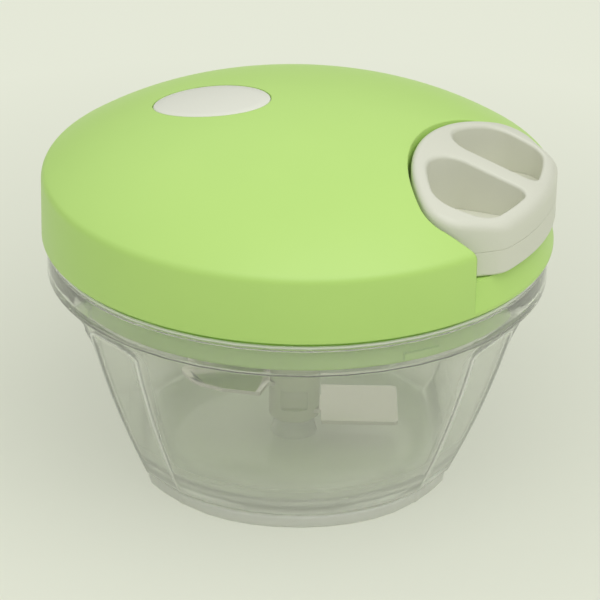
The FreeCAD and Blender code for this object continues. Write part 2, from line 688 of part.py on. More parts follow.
def ellipse_pad(label, grow):
    """An upright oval prism through the dome, where the label sits."""
    body = new_body(label, hand_in=False)
    sketch = new_sketch(body, "oval", "XY", "edge_drop")
    centre = FreeCAD.Vector(-value_of("label_centre"), 0, 0)
    major = value_of(f"label_length / 2 + {grow}")
    minor = value_of(f"label_width / 2 + {grow}")
    edge = sketch.addGeometry(Part.Ellipse(centre, major, minor), False)
    sketch.exposeInternalGeometry(edge)
    pin_point(sketch, edge, 3, "-label_centre", "0")
    # the exposed axes are sketch edges 1 and 2
    for axis, text in ((1, f"label_length + 2 * {grow}"), (2, f"label_width + 2 * {grow}")):
        index = sketch.addConstraint(Sketcher.Constraint("Distance", axis, 1, axis, 2, value_of(text)))
        sketch.setExpression(f"Constraints[{index}]", bind(text))
    sketch.addConstraint(Sketcher.Constraint("Horizontal", 1))
    pad = body.newObject("PartDesign::Pad", "prism")
    pad.Profile = sketch
    pad.Length = value_of("lid_top + 10")
    pad.setExpression("Length", bind("lid_top + 10"))
    body.Tip = pad
    return body


def dome_layer(label, top, bottom):
    """A skin under the dome's crown, from inset top to inset bottom."""
    body = new_body(label, hand_in=False)
    upper = dome_points(top)[:3]
    lower = dome_points(bottom)[:3]
    back = [(lower[2][0], lower[2][1], lower[1][2][1:]), (lower[1][0], lower[1][1], lower[0][2][1:]),
            (lower[0][0], lower[0][1])]
    lathe(body, "skin", upper[:2] + [(upper[2][0], upper[2][1])] + back)
    return body


def make_lid_shell():
    body = new_body("lid_moulding", hand_in=False)
    lathe(body, "dome", dome_points("0") + [("lid_radius", "lid_edge"), ("0", "lid_edge")])
    # inside, a plain chamfer stands for the dome's edge arc
    crown, shoulder, edge, side = dome_points("lid_wall")
    lathe(body, "hollow", [crown, shoulder, edge[:2], side, ("lid_radius - lid_wall", "lid_edge - 1"),
                           ("0", "lid_edge - 1")], cut=True)
    prism(body, "dock_block", "dock_under", "lid_top - dock_under", [dock_points("(dock_gap + dock_wall)")])
    posts = [polar("lid_post_circle", angle) + ("post_radius",) for angle in ("60", "180", "300")]
    prism(body, "base_posts", "base_top", "lid_top - base_top", posts)
    posts = [polar("cup_post_circle", angle) + ("post_radius",) for angle in ("90", "180", "270")]
    prism(body, "cup_posts", "cup_floor", "lid_top - cup_floor", posts)
    prism(body, "axle_holder", "spool_top + apart", "lid_top - spool_top", [("0", "0", "axle_boss")])
    beyond = dome_points("0")
    outside = beyond + [("lid_radius", "lid_edge - 1"), ("lid_radius + 30", "lid_edge - 1"),
                        ("lid_radius + 30", "lid_top + 30"), ("0", "lid_top + 30")]
    lathe(body, "trim_to_dome", outside, cut=True)
    prism(body, "dock", "dock_floor", "lid_top", [dock_points("dock_gap")], cut=True)
    # the ledge under the handle leans in towards its top
    dock_angle = "2 * asin(dock_half / lid_radius) / 1deg"
    lathe(body, "ledge", [("lid_radius - 0.01", "lid_edge + 1"), ("lid_radius + 3", "lid_edge + 1"),
                          ("lid_radius + 3", "dock_floor + 1"),
                          ("lid_radius - ledge_slope", "dock_floor + 1")],
          cut=True, sweep=dock_angle)
    prism(body, "cord_hole", "nose_hole - 1", "dock_wall + dock_gap + 1.5",
          [("0", "cord_height", "guide_radius + slip / 2")], cut=True, plane="YZ")
    holes = [polar("lid_post_circle", angle) + ("screw_radius",) for angle in ("60", "180", "300")]
    prism(body, "base_screw_holes", "base_top - 1", "11", holes, cut=True)
    holes = [polar("cup_post_circle", angle) + ("screw_radius",) for angle in ("90", "180", "270")]
    prism(body, "cup_screw_holes", "cup_floor - 1", "9", holes, cut=True)
    prism(body, "axle_seat", "spool_top", "4", [("0", "0", "axle_radius")], cut=True)

    seat_skin = dome_layer("seat_skin", "-1", "label_depth")
    seat = combined("Part::Common", "label_seat", ellipse_pad("seat_oval", "slip"), seat_skin,
                    hand_in=False)
    combined("Part::Cut", "lid_shell", body, seat)
    label_skin = dome_layer("label_skin", "0", "label_depth")
    combined("Part::Common", "label_inlay", ellipse_pad("label_oval", "0"), label_skin)


# ---------------------------------------------------------------------------------------- lid base


def make_lid_base():
    base = new_body("lid_base")
    seal_in, seal_out = "(band_radius - bowl_wall + 0.3)", "(band_radius - bowl_wall + 0.3 + seal_width)"
    lathe(base, "plate", [
        ("bush_radius", "socket_base + flange"),
        ("bush_radius + 2.4", "socket_base + flange"),
        ("bush_radius + 2.4", "base_under"),
        ("skirt_radius - skirt_wall", "base_under"),
        ("skirt_radius - skirt_wall", "skirt_foot"),
        ("skirt_radius", "skirt_foot"),
        ("skirt_radius", "base_under"),
        (seal_in, "base_under"),
        (seal_in, "base_under + seal_seat"),
        (seal_out, "base_under + seal_seat"),
        (seal_out, "base_under"),
        ("base_radius_out", "base_under"),
        ("base_radius_out", "base_top + spigot_height"),
        ("base_radius_out - 1.8", "base_top + spigot_height"),
        ("base_radius_out - 1.8", "base_top"),
        ("bush_radius", "base_top"),
    ])
    lug = prism(base, "lug", "skirt_foot + 0.4", "lug_height",
                [sector("skirt_radius - 0.5", "(skirt_radius + lug_stand)", "45", "45 + lug_span")])
    around(base, "lugs", lug, 4)
    holes = [polar("lid_post_circle", angle) + ("screw_radius + slip",) for angle in ("60", "180", "300")]
    prism(base, "screw_holes", "base_under - 1", "base_plate + 2", holes, cut=True)
    heads = [polar("lid_post_circle", angle) + ("screw_head + slip",) for angle in ("60", "180", "300")]
    prism(base, "head_seats", "base_under - 1", "1 + head_height - 0.4", heads, cut=True)

    seal = new_body("lid_seal")
    lathe(seal, "ring", rectangle(f"{seal_in} + slip / 2", f"{seal_out} - slip / 2", "bowl_height",
                                  "base_under + seal_seat"))

    bush = new_body("shaft_bush")
    lathe(bush, "bush", [("bush_bore", "socket_base + flange"), ("bush_radius", "socket_base + flange"),
                         ("bush_radius", "base_top"), ("bush_radius + 2", "base_top"),
                         ("bush_radius + 2", "bush_top"), ("bush_bore", "bush_top")])


# --------------------------------------------------------------------------------------- cord drive


def make_drive_wheel():
    wheel = new_body("drive_wheel")
    lathe(wheel, "wheel", [
        ("0", "hex_top + apart"),
        ("0", "ratchet_base"),
        ("tooth_root", "ratchet_base"),
        ("tooth_root", "ratchet_top"),
        ("ratchet_radius", "ratchet_top"),
        ("ratchet_radius", "wheel_base"),
        ("wheel_boss", "wheel_base"),
        ("wheel_boss", "socket_base"),
        ("hex_width / 2 + 1", "socket_base"),
        ("hex_width / 2 + 1", "hex_top + apart"),
    ])
    # the socket's wall, with a hexagonal hole, fills the boss
    prism(wheel, "socket_wall", "socket_base", "hex_top + apart - socket_base",
          [("0", "0", "hex_width / 2 + 1.2"), hexagon("hex_width")], turn="blades_turn")
    step = "(360 / teeth)"
    tooth = prism(wheel, "tooth", "ratchet_base", "ratchet_top - ratchet_base", [[
        polar("tooth_tip", "0"),
        polar("tooth_root + 0.4", "0") + ("(tooth_root + 0.4)",),
        polar("tooth_root + 0.4", step),
    ]])
    around(wheel, "ratchet", tooth, value_of("teeth"))


def pawl_outline(ahead):
    """A pawl that trails the tooth face at the angle ahead, with its pin behind it."""
    pin_x, pin_y = polar("pawl_circle", f"{ahead} - pawl_lag")

    def local(radius, angle):
        return polar(radius, f"{ahead} - {angle}")

    # the boss around the pin is a half turn between the pawl's two long sides
    lean = f"({ahead} - pawl_lag * 0.15)"
    outer = (f"{pin_x} + pawl_boss * cos({lean} - 40)", f"{pin_y} + pawl_boss * sin({lean} - 40)")
    inner = (f"{pin_x} - pawl_boss * cos({lean} - 40)", f"{pin_y} - pawl_boss * sin({lean} - 40)",
             "pawl_boss * 1.001")
    return [outer, local("tooth_tip + 0.9", "9.5"), local("tooth_tip - 1.6", "9.5"), inner]


def make_clutch():
    carrier = new_body("pawl_carrier")
    lathe(carrier, "disc", rectangle("0", "carrier_radius", "carrier_base", "carrier_top"))
    prism(carrier, "hexagon_hole", "carrier_base - 1", "carrier_wall + 2", [hexagon("carrier_hex + slip")],
          cut=True)
    pins = [polar("pawl_circle", f"{turn} - pawl_lag") + ("pawl_pin",) for turn in (0, 180)]
    prism(carrier, "pin_holes", "carrier_base - 1", "carrier_wall + 2", pins, cut=True)

    pin_group = new_body("pawl_pins")
    first = prism(pin_group, "pin", "pawl_base", "carrier_top - pawl_base",
                  [polar("pawl_circle", "0 - pawl_lag") + ("pawl_pin",)])
    around(pin_group, "pins", first, 2)

    for label, ahead in (("pawl_a", "0"), ("pawl_b", "180")):
        pawl = new_body(label)
        prism(pawl, "arm", "pawl_base", "pawl_height", [pawl_outline(ahead)])
        prism(pawl, "bore", "pawl_base - 1", "pawl_height + 2",
              [polar("pawl_circle", f"{ahead} - pawl_lag") + ("pawl_pin + running",)], cut=True)


def cord_leaves():
    """The point where the straight cord leaves its turn on the spool, and the way it goes."""
    away = math.acos(value_of("wound_radius / nose_hole"))
    start = FreeCAD.Vector(math.cos(away), -math.sin(away), 0) * value_of("wound_radius")
    return start, FreeCAD.Vector(math.sin(away), math.cos(away), 0)


def make_spool():
    spool = new_body("spool")
    lathe(spool, "spool", [
        ("axle_radius + running", "carrier_base"),
        ("carrier_hex / 2 - 0.4", "carrier_base"),
        ("carrier_hex / 2 - 0.4", "carrier_top"),
        ("sleeve_radius", "carrier_top"),
        ("sleeve_radius", "spool_base"),
        ("flange_radius", "spool_base"),
        ("flange_radius", "drum_base"),
        ("drum_radius", "drum_base"),
        ("drum_radius", "drum_top"),
        ("flange_radius", "drum_top"),
        ("flange_radius", "spool_top"),
        ("axle_radius + running", "spool_top"),
    ])
    prism(spool, "hexagon", "carrier_base", "carrier_wall + 0.2",
          [hexagon("carrier_hex"), ("0", "0", "axle_radius + running")])
    core_out = prism(spool, "core_out", "spool_base - 1", "drum_top - spool_base",
                     [sector("(sleeve_radius + 1.6)", "(drum_radius - 1.8)", "8", "52")], cut=True)
    around(spool, "core_outs", core_out, 6)

    coil = new_body("coil_winding", hand_in=False)
    bottom = "(cord_height - turns * cord / 2)"
    bumps = []
    for number in range(int(value_of("turns"))):
        height = f"({bottom} + {number} * cord)"
        bumps.append(("drum_radius + slip + cord / 2", height, "(0.52 * cord)"))
    top = f"({bottom} + {int(value_of('turns'))} * cord)"
    lathe(coil, "winding", [("drum_radius + slip", bottom)] + bumps
          + [("drum_radius + slip + cord / 2", top), ("drum_radius + slip", top)])
    # room for the cord where it leaves its turn
    start, along = cord_leaves()
    room = doc.addObject("Part::Cylinder", "leaving_cord")
    room.setExpression("Radius", bind("cord / 2 + apart / 2"))
    room.setExpression("Height", bind("flange_radius"))
    base = start - along * value_of("slip") + FreeCAD.Vector(0, 0, value_of("cord_height"))
    room.Placement = FreeCAD.Placement(base, FreeCAD.Rotation(UP, along))
    combined("Part::Cut", "cord_coil", coil, room)

    axle = new_body("spool_axle")
    lathe(axle, "axle", [("0", "carrier_base"), ("axle_radius - 0.5", "carrier_base"),
                         ("axle_radius", "carrier_base + 0.5"), ("axle_radius", "spool_top + 4"),
                         ("0", "spool_top + 4")])


def make_spring():
    cup = new_body("spring_cup")
    lathe(cup, "cup", [
        ("sleeve_radius + 0.7", "cup_base"),
        ("cup_radius", "cup_base"),
        ("cup_radius", "cup_top"),
        ("cup_radius - cup_wall", "cup_top"),
        ("cup_radius - cup_wall", "cup_floor"),
        ("sleeve_radius + 0.7", "cup_floor"),
    ])
    ears = []
    for angle in ("90", "180", "270"):
        ears.append(polar("cup_post_circle", angle) + ("post_radius + 0.4",))
    for number, ear in enumerate(ears):
        prism(cup, f"ear_{number}", "cup_base", "cup_wall", [ear])
        angle = f"{90 + 90 * number}"
        prism(cup, f"ear_web_{number}", "cup_base", "cup_wall",
              [rectangle("cup_radius - 1", "cup_post_circle", "-post_radius", "post_radius")], turn=angle)
    holes = [polar("cup_post_circle", angle) + ("screw_radius + slip",) for angle in ("90", "180", "270")]
    prism(cup, "ear_holes", "cup_base - 1", "cup_wall + 2", holes, cut=True)

    # the spring: half turns whose centres swap sides, which makes an even spiral
    inner = value_of("sleeve_radius + ribbon")
    outer = value_of("cup_radius - cup_wall - ribbon")
    halves = int(value_of("spring_turns")) * 2
    growth = (outer - inner) / halves
    radius, x = inner, inner
    edges = []
    for number in range(halves):
        side = 1 if number % 2 == 0 else -1
        middle = x - side * (radius + growth / 2)
        reach = radius + growth / 2
        top = FreeCAD.Vector(middle, side * reach, 0)
        end_x = middle - side * reach
        edges.append(Part.Arc(FreeCAD.Vector(x, 0, 0), top, FreeCAD.Vector(end_x, 0, 0)).toShape())
        x, radius = end_x, radius + growth
    spiral = Part.Wire(edges)
    ribbon_face = spiral.makeOffset2D(value_of("ribbon") / 2, join=0, fill=True, openResult=True)
    spring = doc.addObject("Part::Feature", "rewind_spring")
    spring.Label = "rewind_spring"
    spring.Shape = ribbon_face.extrude(FreeCAD.Vector(0, 0, value_of("ribbon_width")))
    spring.Placement = FreeCAD.Placement(FreeCAD.Vector(0, 0, value_of("spring_base")), FreeCAD.Rotation())
    PARTS["rewind_spring"] = spring


def make_cord():
    guide = new_body("cord_guide")
    prism(guide, "barrel", "nose_hole", "dock_wall", [("0", "cord_height", "guide_radius")], plane="YZ")
    prism(guide, "flange", "nose_hole - 0.8", "0.8", [("0", "cord_height", "guide_flange")], plane="YZ")
    prism(guide, "bore", "nose_hole - 2", "dock_wall + 4", [("0", "cord_height", "guide_bore")],
          cut=True, plane="YZ")
    doc.recompute()

    # straight off the spool, round the guide's mouth in one arc, and straight on to the ferrule
    corner = FreeCAD.Vector(value_of("nose_hole"), 0, 0)
    start, along = cord_leaves()
    end = FreeCAD.Vector(value_of("ferrule_start"), 0, 0)
    turn = math.atan2(along.y, along.x)
    shorter = min((corner - start).Length, (end - corner).Length)
    bend = 0.45 * shorter / math.tan(turn / 2)
    print("pull cord bend radius", round(bend, 2))
    inward = along * -0.45 * shorter
    onward = FreeCAD.Vector(0.45 * shorter, 0, 0)
    middle = (inward + onward).normalize() * (bend / math.cos(turn / 2) - bend)
    route = Part.Wire([
        Part.LineSegment(start, corner + inward).toShape(),
        Part.Arc(corner + inward, corner + middle, corner + onward).toShape(),
        Part.LineSegment(corner + onward, end).toShape(),
    ])
    section = Part.Wire([Part.Circle(start, inward, value_of("cord") / 2).toShape()])
    tube = route.makePipeShell([section], True, False)
    cord = doc.addObject("Part::Feature", "pull_cord")
    cord.Label = "pull_cord"
    cord.Shape = tube
    cord.Placement = FreeCAD.Placement(FreeCAD.Vector(0, 0, value_of("cord_height")), FreeCAD.Rotation())
    PARTS["pull_cord"] = cord
    swept = math.pi * (value_of("cord") / 2) ** 2 * route.Length
    print("pull cord volume", round(tube.Volume, 3), "section times length", round(swept, 3))


# ------------------------------------------------------------------------------------------ handle


def pocket_points():
    """The left finger pocket, seen from above: along the bar, along the outer face, along the wide end
    and back along the nose wall, with a tangent round at each of the four corners."""
    face = "(handle_radius - handle_wall)"
    nose = "(nose_radius - handle_wall)"
    bar = "(bar_width / 2)"
    # centres of the rounds: bar to outer face, wide end to nose wall, wide end to face, bar to nose wall
    low_y = f"({bar} + pocket_round)"
    low_x = f"sqrt(({face} - pocket_round) ^ 2 - {low_y} ^ 2)"
    wide_y = "(handle_width / 2 - end_wall - wide_round)"
    wide_back = f"sqrt(({nose} - wide_round) ^ 2 - {wide_y} ^ 2)"
    wide_x = f"(nose_centre - {wide_back})"
    high_x, high_y = last_round(wide_x, wide_y, "wide_round", "pocket_round", face, "end_lean")
    turn_y = f"({bar} + bar_round)"
    turn_back = f"sqrt(({nose} - bar_round) ^ 2 - {turn_y} ^ 2)"

    to_face = f"{face} / ({face} - pocket_round)"
    to_nose = f"{nose} / ({nose} - bar_round)"
    wide_share = f"{nose} / ({nose} - wide_round)"
    return [
        (f"nose_centre - {turn_back}", bar),
        (low_x, bar, "pocket_round"),
        scaled(low_x, low_y, to_face) + (face,),
        scaled(high_x, high_y, to_face) + ("pocket_round",),
        (f"{high_x} + pocket_round * sin(end_lean)", f"{high_y} + pocket_round * cos(end_lean)"),
        (f"{wide_x} + wide_round * sin(end_lean)", f"{wide_y} + wide_round * cos(end_lean)", "wide_round"),
        (f"nose_centre - {wide_back} * {wide_share}", f"{wide_y} * {wide_share}", nose),
        (f"nose_centre - {turn_back} * {to_nose}", f"{turn_y} * {to_nose}", "bar_round"),
    ]


HANDLE_SCREW = ("handle_radius - 5.2", "0")


def roof_height(radius):
    """The height of the handle's top at a radius about the axis."""
    return f"(roof_top - roof_radius + sqrt(roof_radius ^ 2 - {radius} ^ 2))"


def make_handle():
    top = new_body("handle_top")
    prism(top, "block", "handle_split", "lid_top - handle_split", [outline_points("0")])
    # the top follows a sphere about the axis, and is bevelled along the outer face
    run = "(lid_radius + 20)"
    lathe(top, "roof", [("0", "roof_top", "-roof_radius"), (run, roof_height(run)), (run, "lid_top + 30"),
                        ("0", "lid_top + 30")], cut=True)
    bevel_start = "(handle_radius - soft_edge)"
    bevel_top = roof_height(bevel_start)
    lathe(top, "soft_edge", [(bevel_start, bevel_top), ("handle_radius + 1", f"{bevel_top} - soft_edge - 1"),
                             ("handle_radius + 1", "lid_top + 30"), (bevel_start, "lid_top + 30")], cut=True)
    pocket = prism(top, "finger_pocket", "handle_split - 1", "lid_top", [pocket_points()], cut=True)
    mirrored(top, "finger_pockets", [pocket])
    prism(top, "ferrule_room", "handle_split - 1", "cord_height + ferrule_radius + slip - handle_split + 1",
          [rectangle("ferrule_start - slip", "ferrule_start + ferrule_length + slip",
                     "-ferrule_radius - slip", "ferrule_radius + slip")], cut=True)
    prism(top, "cord_hole", "nose_start - 1", "ferrule_start - nose_start + 1.2",
          [("0", "cord_height", "cord / 2 + slip")], cut=True, plane="YZ")
    prism(top, "screw_hole", "handle_split - 1", "5", [HANDLE_SCREW + ("screw_radius",)], cut=True)

    bottom = new_body("handle_bottom")
    prism(bottom, "block", "handle_base", "handle_split - handle_base", [outline_points("0")])
    prism(bottom, "hollow", "handle_base - 1", "handle_split - handle_base - handle_floor + 1",
          [outline_points("(0 - 2)")], cut=True)
    prism(bottom, "ferrule_post", "handle_split - 0.5", "cord_height - ferrule_radius - handle_split + 0.5",
          [rectangle("ferrule_start", "ferrule_start + ferrule_length", "-ferrule_radius", "ferrule_radius")])
    prism(bottom, "screw_boss", "handle_base", "handle_split - handle_base - 1",
          [HANDLE_SCREW + ("screw_head + 1.5",)])
    prism(bottom, "screw_hole", "handle_base - 1", "handle_split", [HANDLE_SCREW + ("screw_radius + slip",)],
          cut=True)
    prism(bottom, "head_seat", "handle_base - 1", "head_height + 1.4", [HANDLE_SCREW + ("screw_head + slip",)],
          cut=True)

    ferrule = new_body("cord_ferrule")
    prism(ferrule, "crimp", "ferrule_start", "ferrule_length", [("0", "cord_height", "ferrule_radius")],
          plane="YZ")


# ------------------------------------------------------------------------------------------ screws


def screw(body, name, x, y, head_base, length):
    """A pan head under its shank, both pointing up."""
    prism(body, name + "_head", head_base, "head_height", [(x, y, "screw_head")])
    prism(body, name + "_shank", head_base, f"head_height + {length}", [(x, y, "screw_radius - 0.03")])


def make_screws():
    groups = (
        ("lid_screws", [polar("lid_post_circle", angle) for angle in ("60", "180", "300")],
         "base_under - 0.4", "9"),
        ("spring_cup_screws", [polar("cup_post_circle", angle) for angle in ("90", "180", "270")],
         "cup_base - head_height", "8"),
        ("handle_screw", [HANDLE_SCREW], "handle_base + 0.4", "8"),
    )
    for label, spots, head_base, length in groups:
        solids = []
        for number, (x, y) in enumerate(spots):
            body = new_body(f"{label}_{number}", hand_in=False)
            screw(body, "screw", x, y, head_base, length)
            solids.append(body)
        if len(solids) == 1:
            solids[0].Label = label
            PARTS[label] = solids[0]
            continue
        group = doc.addObject("Part::Compound", label)
        group.Label = label
        group.Links = solids
        PARTS[label] = group


# -------------------------------------------------------------------------------- build and write

make_bowl()
make_blades()
make_lid_shell()
make_lid_base()
make_drive_wheel()
make_clutch()
make_spool()
make_spring()
make_cord()
make_handle()
make_screws()
doc.recompute()

faults = []
for item in doc.Objects:
    if {"Invalid", "Error"} & set(item.State):
        faults.append(f"{item.Label} in {[parent.Label for parent in item.InList]}: {item.State}")
for label, part in PARTS.items():
    shape = part.Shape
    if shape.isNull() or not shape.isValid() or not shape.Solids:
        faults.append(f"{label} has no valid solid")
if faults:
    raise SystemExit("\n".join(faults))

for label, part in PARTS.items():
    part.Shape.exportStep(f"parts/{label}.step")
    box = part.Shape.BoundBox
    print(f"{label:20s} solids {len(part.Shape.Solids)}  volume {part.Shape.Volume:9.1f}  "
          f"z {box.ZMin:6.2f} to {box.ZMax:6.2f}  r {max(abs(box.XMin), box.XMax):6.2f}")
print(len(PARTS), "parts")
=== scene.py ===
# %% [markdown]
# # A pull-cord food chopper, piece by piece
#
# This notebook dresses the imported CAD model of a small food chopper. A spring-wound cord turns
# the blades, so there is no motor and no crank. Every piece sits where the CAD says it sits; here
# it gets the rounded edges, ground bevels and moulded surfaces that CAD solids leave out.
#
# The first step loads the CAD model as a fixed frame.

# %% Load the imported model
import math

import bmesh
import bpy
from mathutils import Matrix, Vector


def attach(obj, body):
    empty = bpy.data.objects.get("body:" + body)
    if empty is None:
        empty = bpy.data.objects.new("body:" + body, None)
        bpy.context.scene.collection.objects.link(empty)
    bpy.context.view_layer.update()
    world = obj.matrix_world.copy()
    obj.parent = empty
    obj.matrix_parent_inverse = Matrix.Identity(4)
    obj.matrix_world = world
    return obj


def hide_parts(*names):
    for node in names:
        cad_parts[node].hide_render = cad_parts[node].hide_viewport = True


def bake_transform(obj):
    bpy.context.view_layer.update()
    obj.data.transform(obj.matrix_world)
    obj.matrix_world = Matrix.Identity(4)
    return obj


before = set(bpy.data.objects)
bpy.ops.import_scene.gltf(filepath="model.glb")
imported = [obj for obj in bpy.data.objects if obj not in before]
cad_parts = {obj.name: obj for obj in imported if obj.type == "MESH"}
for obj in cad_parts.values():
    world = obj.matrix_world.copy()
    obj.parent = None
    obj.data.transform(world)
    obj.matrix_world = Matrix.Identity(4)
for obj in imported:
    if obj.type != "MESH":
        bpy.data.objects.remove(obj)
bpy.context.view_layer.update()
scene = bpy.context.scene

# %% [markdown]
# ## Camera
#
# A kitchen tool of this size is usually shown from about an arm's length with a long lens, looking
# down at a quarter angle, so that the lid's oval and the bowl's depth both read. The camera is
# built from three directions: the way to its right, the way it looks, and the way up. The tiny
# roll is that of a hand-held frame.

# %% Camera
turn, tilt, roll = math.radians(19.5), 0.4524, 0.02
reach, lens_mm, sensor_mm = 0.9, 218.7, 36
aim = (0.00091, 0.04076)
beside = Vector((math.cos(turn), math.sin(turn), 0))
ahead = Vector((-math.sin(turn), math.cos(turn), 0))
upward = Vector((0, 0, 1))
looking = ahead * math.cos(tilt) - upward * math.sin(tilt)
above = ahead * math.sin(tilt) + upward * math.cos(tilt)
right = beside * math.cos(roll) + above * math.sin(roll)
top = above * math.cos(roll) - beside * math.sin(roll)

camera = bpy.data.objects.new("camera", bpy.data.cameras.new("camera"))
scene.collection.objects.link(camera)
camera.matrix_world = Matrix((right, top, -looking)).transposed().to_4x4()
camera.location = beside * aim[0] + upward * aim[1] - looking * reach
camera.data.sensor_width, camera.data.lens = sensor_mm, lens_mm
scene.camera = camera
scene.view_settings.view_transform = "Standard"
print("camera at", [round(v, 3) for v in camera.location], "lens", camera.data.lens, "mm")

# %% [markdown]
# ## Colours and shader nodes
#
# Colours are written the way paint charts and screens give them, as hex codes. Shaders work in
# linear light, so one small function turns a hex code into that. A second one adds a node, fills
# its settings and plugs in its links, which keeps each material below readable as a recipe. Four
# more stand for what most recipes need: noise, a blend of colours, a multiplication and relief.

# %% Colour and node helpers
MM = 0.001


def paint(hex_code):
    """The linear colour that a shader wants, from an sRGB hex code."""
    parts = [int(hex_code[i:i + 2], 16) / 255 for i in (1, 3, 5)]
    linear = [v / 12.92 if v <= 0.04045 else ((v + 0.055) / 1.055) ** 2.4 for v in parts]
    return (*linear, 1.0)


def add(tree, kind, settings=(), links=()):
    """Adds a node. Settings are its sockets or properties; links give (socket, node, output)."""
    node = tree.nodes.new("ShaderNode" + kind)
    for name, value in dict(settings).items():
        if isinstance(name, int) or name in node.inputs:
            node.inputs[name].default_value = value
        else:
            setattr(node, name, value)
    for socket, source, output in links:
        tree.links.new(source.outputs[output], node.inputs[socket])
    return node


def speckle(tree, place, scale, detail):
    """Noise that is fixed to the object, with so many waves in a metre."""
    return add(tree, "TexNoise", {"Scale": scale, "Detail": detail}, [("Vector", place, "Object")])


def between(tree, colour, other, share):
    """A colour that goes from one to another with a share."""
    return add(tree, "Mix", {"data_type": "RGBA", 6: paint(colour), 7: paint(other)},
               [(0, share, 0)])


def scaled(tree, value, output, factor):
    """An output of a node, multiplied by a factor."""
    return add(tree, "Math", {"operation": "MULTIPLY", 1: factor}, [(0, value, output)])


def bump(tree, strength, depth_mm, height, *links):
    """Relief on a surface, from a node that gives its height."""
    return add(tree, "Bump", {"Strength": strength, "Distance": depth_mm * MM},
               [("Height", height, 0), *links])


def start_material(name):
    """A new material and its empty node tree."""
    material = bpy.data.materials.new(name)
    material.use_nodes = True
    material.node_tree.nodes.clear()
    return material, material.node_tree


print("white paint is", [round(v, 3) for v in paint("#ffffff")])

# %% [markdown]
# ## Floor
#
# The chopper stands on a plain, pale card that is large enough to fill the view. Round the chopper
# the card is painted darker, a painted soft shadow that grows paler away from it. It lies on a
# light
# table, as small goods often do: six tenths of what the camera gets from it is light that comes
# through it, which softens the chopper's shadow without taking it away. That part is only added for
# rays that look at the card, straight or by reflection, so that it throws no light up on the
# chopper.

# %% Floor
LIT_SHARE, FLOOR_SIZE = 0.62, 2.5
SHADE_CENTRE, SHADE_FROM, SHADE_TO = ahead * 0.06, 0.04, 0.20

card, tree = start_material("matt_card")
place = add(tree, "TexCoord")
distance = add(tree, "VectorMath", {"operation": "DISTANCE", 1: SHADE_CENTRE},
               [(0, place, "Object")])
out_of_painted_shadow = add(tree, "MapRange", {"From Min": SHADE_FROM, "From Max": SHADE_TO},
              [("Value", distance, "Value")])
# The card is painted darker near the chopper: a painted soft shadow, which is also in its glow.
card_colour_painted_shadow = between(tree, "#d6d9c9", "#e9ecdc", out_of_painted_shadow)
fibre = speckle(tree, place, 900, 2)
grain = bump(tree, 0.05, 0.05, fibre)
surface = add(tree, "BsdfPrincipled", {"Roughness": 0.8, "Specular IOR Level": 0.1},
              [("Base Color", card_colour_painted_shadow, 2), ("Normal", grain, 0)])
backlight = add(tree, "Emission", {"Strength": 1.0}, [("Color", card_colour_painted_shadow, 2)])
ray = add(tree, "LightPath")
seen = add(tree, "Math", {"operation": "MAXIMUM"},
           [(0, ray, "Is Camera Ray"), (1, ray, "Is Glossy Ray")])
part_lit = scaled(tree, seen, 0, LIT_SHARE)
lit_card = add(tree, "MixShader", (), [(0, part_lit, 0), (1, surface, 0), (2, backlight, 0)])
add(tree, "OutputMaterial", (), [(0, lit_card, 0)])

sheet = bmesh.new()
bmesh.ops.create_grid(sheet, x_segments=8, y_segments=8, size=FLOOR_SIZE)
floor_mesh = bpy.data.meshes.new("floor")
sheet.to_mesh(floor_mesh)
sheet.free()
floor = bpy.data.objects.new("floor", floor_mesh)
floor_mesh.materials.append(card)
scene.collection.objects.link(floor)
print("floor", len(floor_mesh.polygons), "faces")

# %% [markdown]
# ## Studio light
#
# One large soft lamp hangs overhead, a little towards the camera: that is what makes the front of
# the dome brighter than its back and leaves the lid's upright side half a tone darker. A room all
# round fills the shadows; it is pale above and darker low down, which draws the edges of the clear
# bowl. Lamp and room together give a level surface the brightness of about one, so a colour comes
# out as it is written. What the eye sees behind the card, straight or through the bowl, is a plain
# backdrop, nearly as pale as the card.

# %% Lamps and room
AIM_HEIGHT, LAMP_SIZE, LAMP_WATTS, ROOM_GLOW = 0.05, 1.6, 11.9, 0.80

lamp = bpy.data.objects.new("overhead", bpy.data.lights.new("overhead", "AREA"))
lamp.data.shape, lamp.data.size, lamp.data.energy = "SQUARE", LAMP_SIZE, LAMP_WATTS
scene.collection.objects.link(lamp)
lamp.location = upward * 1.6 - ahead * 0.60 + beside * 0.35
lamp.rotation_mode = "QUATERNION"
lamp.rotation_quaternion = (upward * AIM_HEIGHT - lamp.location).to_track_quat("-Z", "Y")

room = bpy.data.worlds.new("pale_room")
scene.world = room
room.use_nodes = True
tree = room.node_tree
tree.nodes.clear()
sky = add(tree, "TexCoord")
height = add(tree, "SeparateXYZ", (), [(0, sky, "Generated")])
climb = add(tree, "MapRange", {"From Min": -0.1, "From Max": 0.7},
            [("Value", height, "Z")])
walls = between(tree, "#5d5f5b", "#fafbf8", climb)
glow = add(tree, "Background", {"Strength": ROOM_GLOW}, [("Color", walls, 2)])
backdrop = add(tree, "Background", {"Color": paint("#e5e9d8"), "Strength": 1.0})
ray = add(tree, "LightPath")
looked_at = add(tree, "Math", {"operation": "MAXIMUM"},
                [(0, ray, "Is Camera Ray"), (1, ray, "Is Transmission Ray")])
behind = add(tree, "MixShader", (), [(0, looked_at, 0), (1, glow, 0), (2, backdrop, 0)])
add(tree, "OutputWorld", (), [(0, behind, 0)])
print("lamp", lamp.data.energy, "W at", [round(v, 2) for v in lamp.location])

# %% [markdown]
# ## Finishes: moulded plastics
#
# The lid, its base and the handle are injection-moulded ABS. The mould's surface is spark
# eroded, which leaves a fine even grain that softens every reflection. Grain is a bump, not a
# colour. The real grain is about 0.1 mm; it is drawn at 0.3 mm, the finest that still shows.
# Slow changes in gloss, a few centimetres across, are what flow in the mould leaves behind.

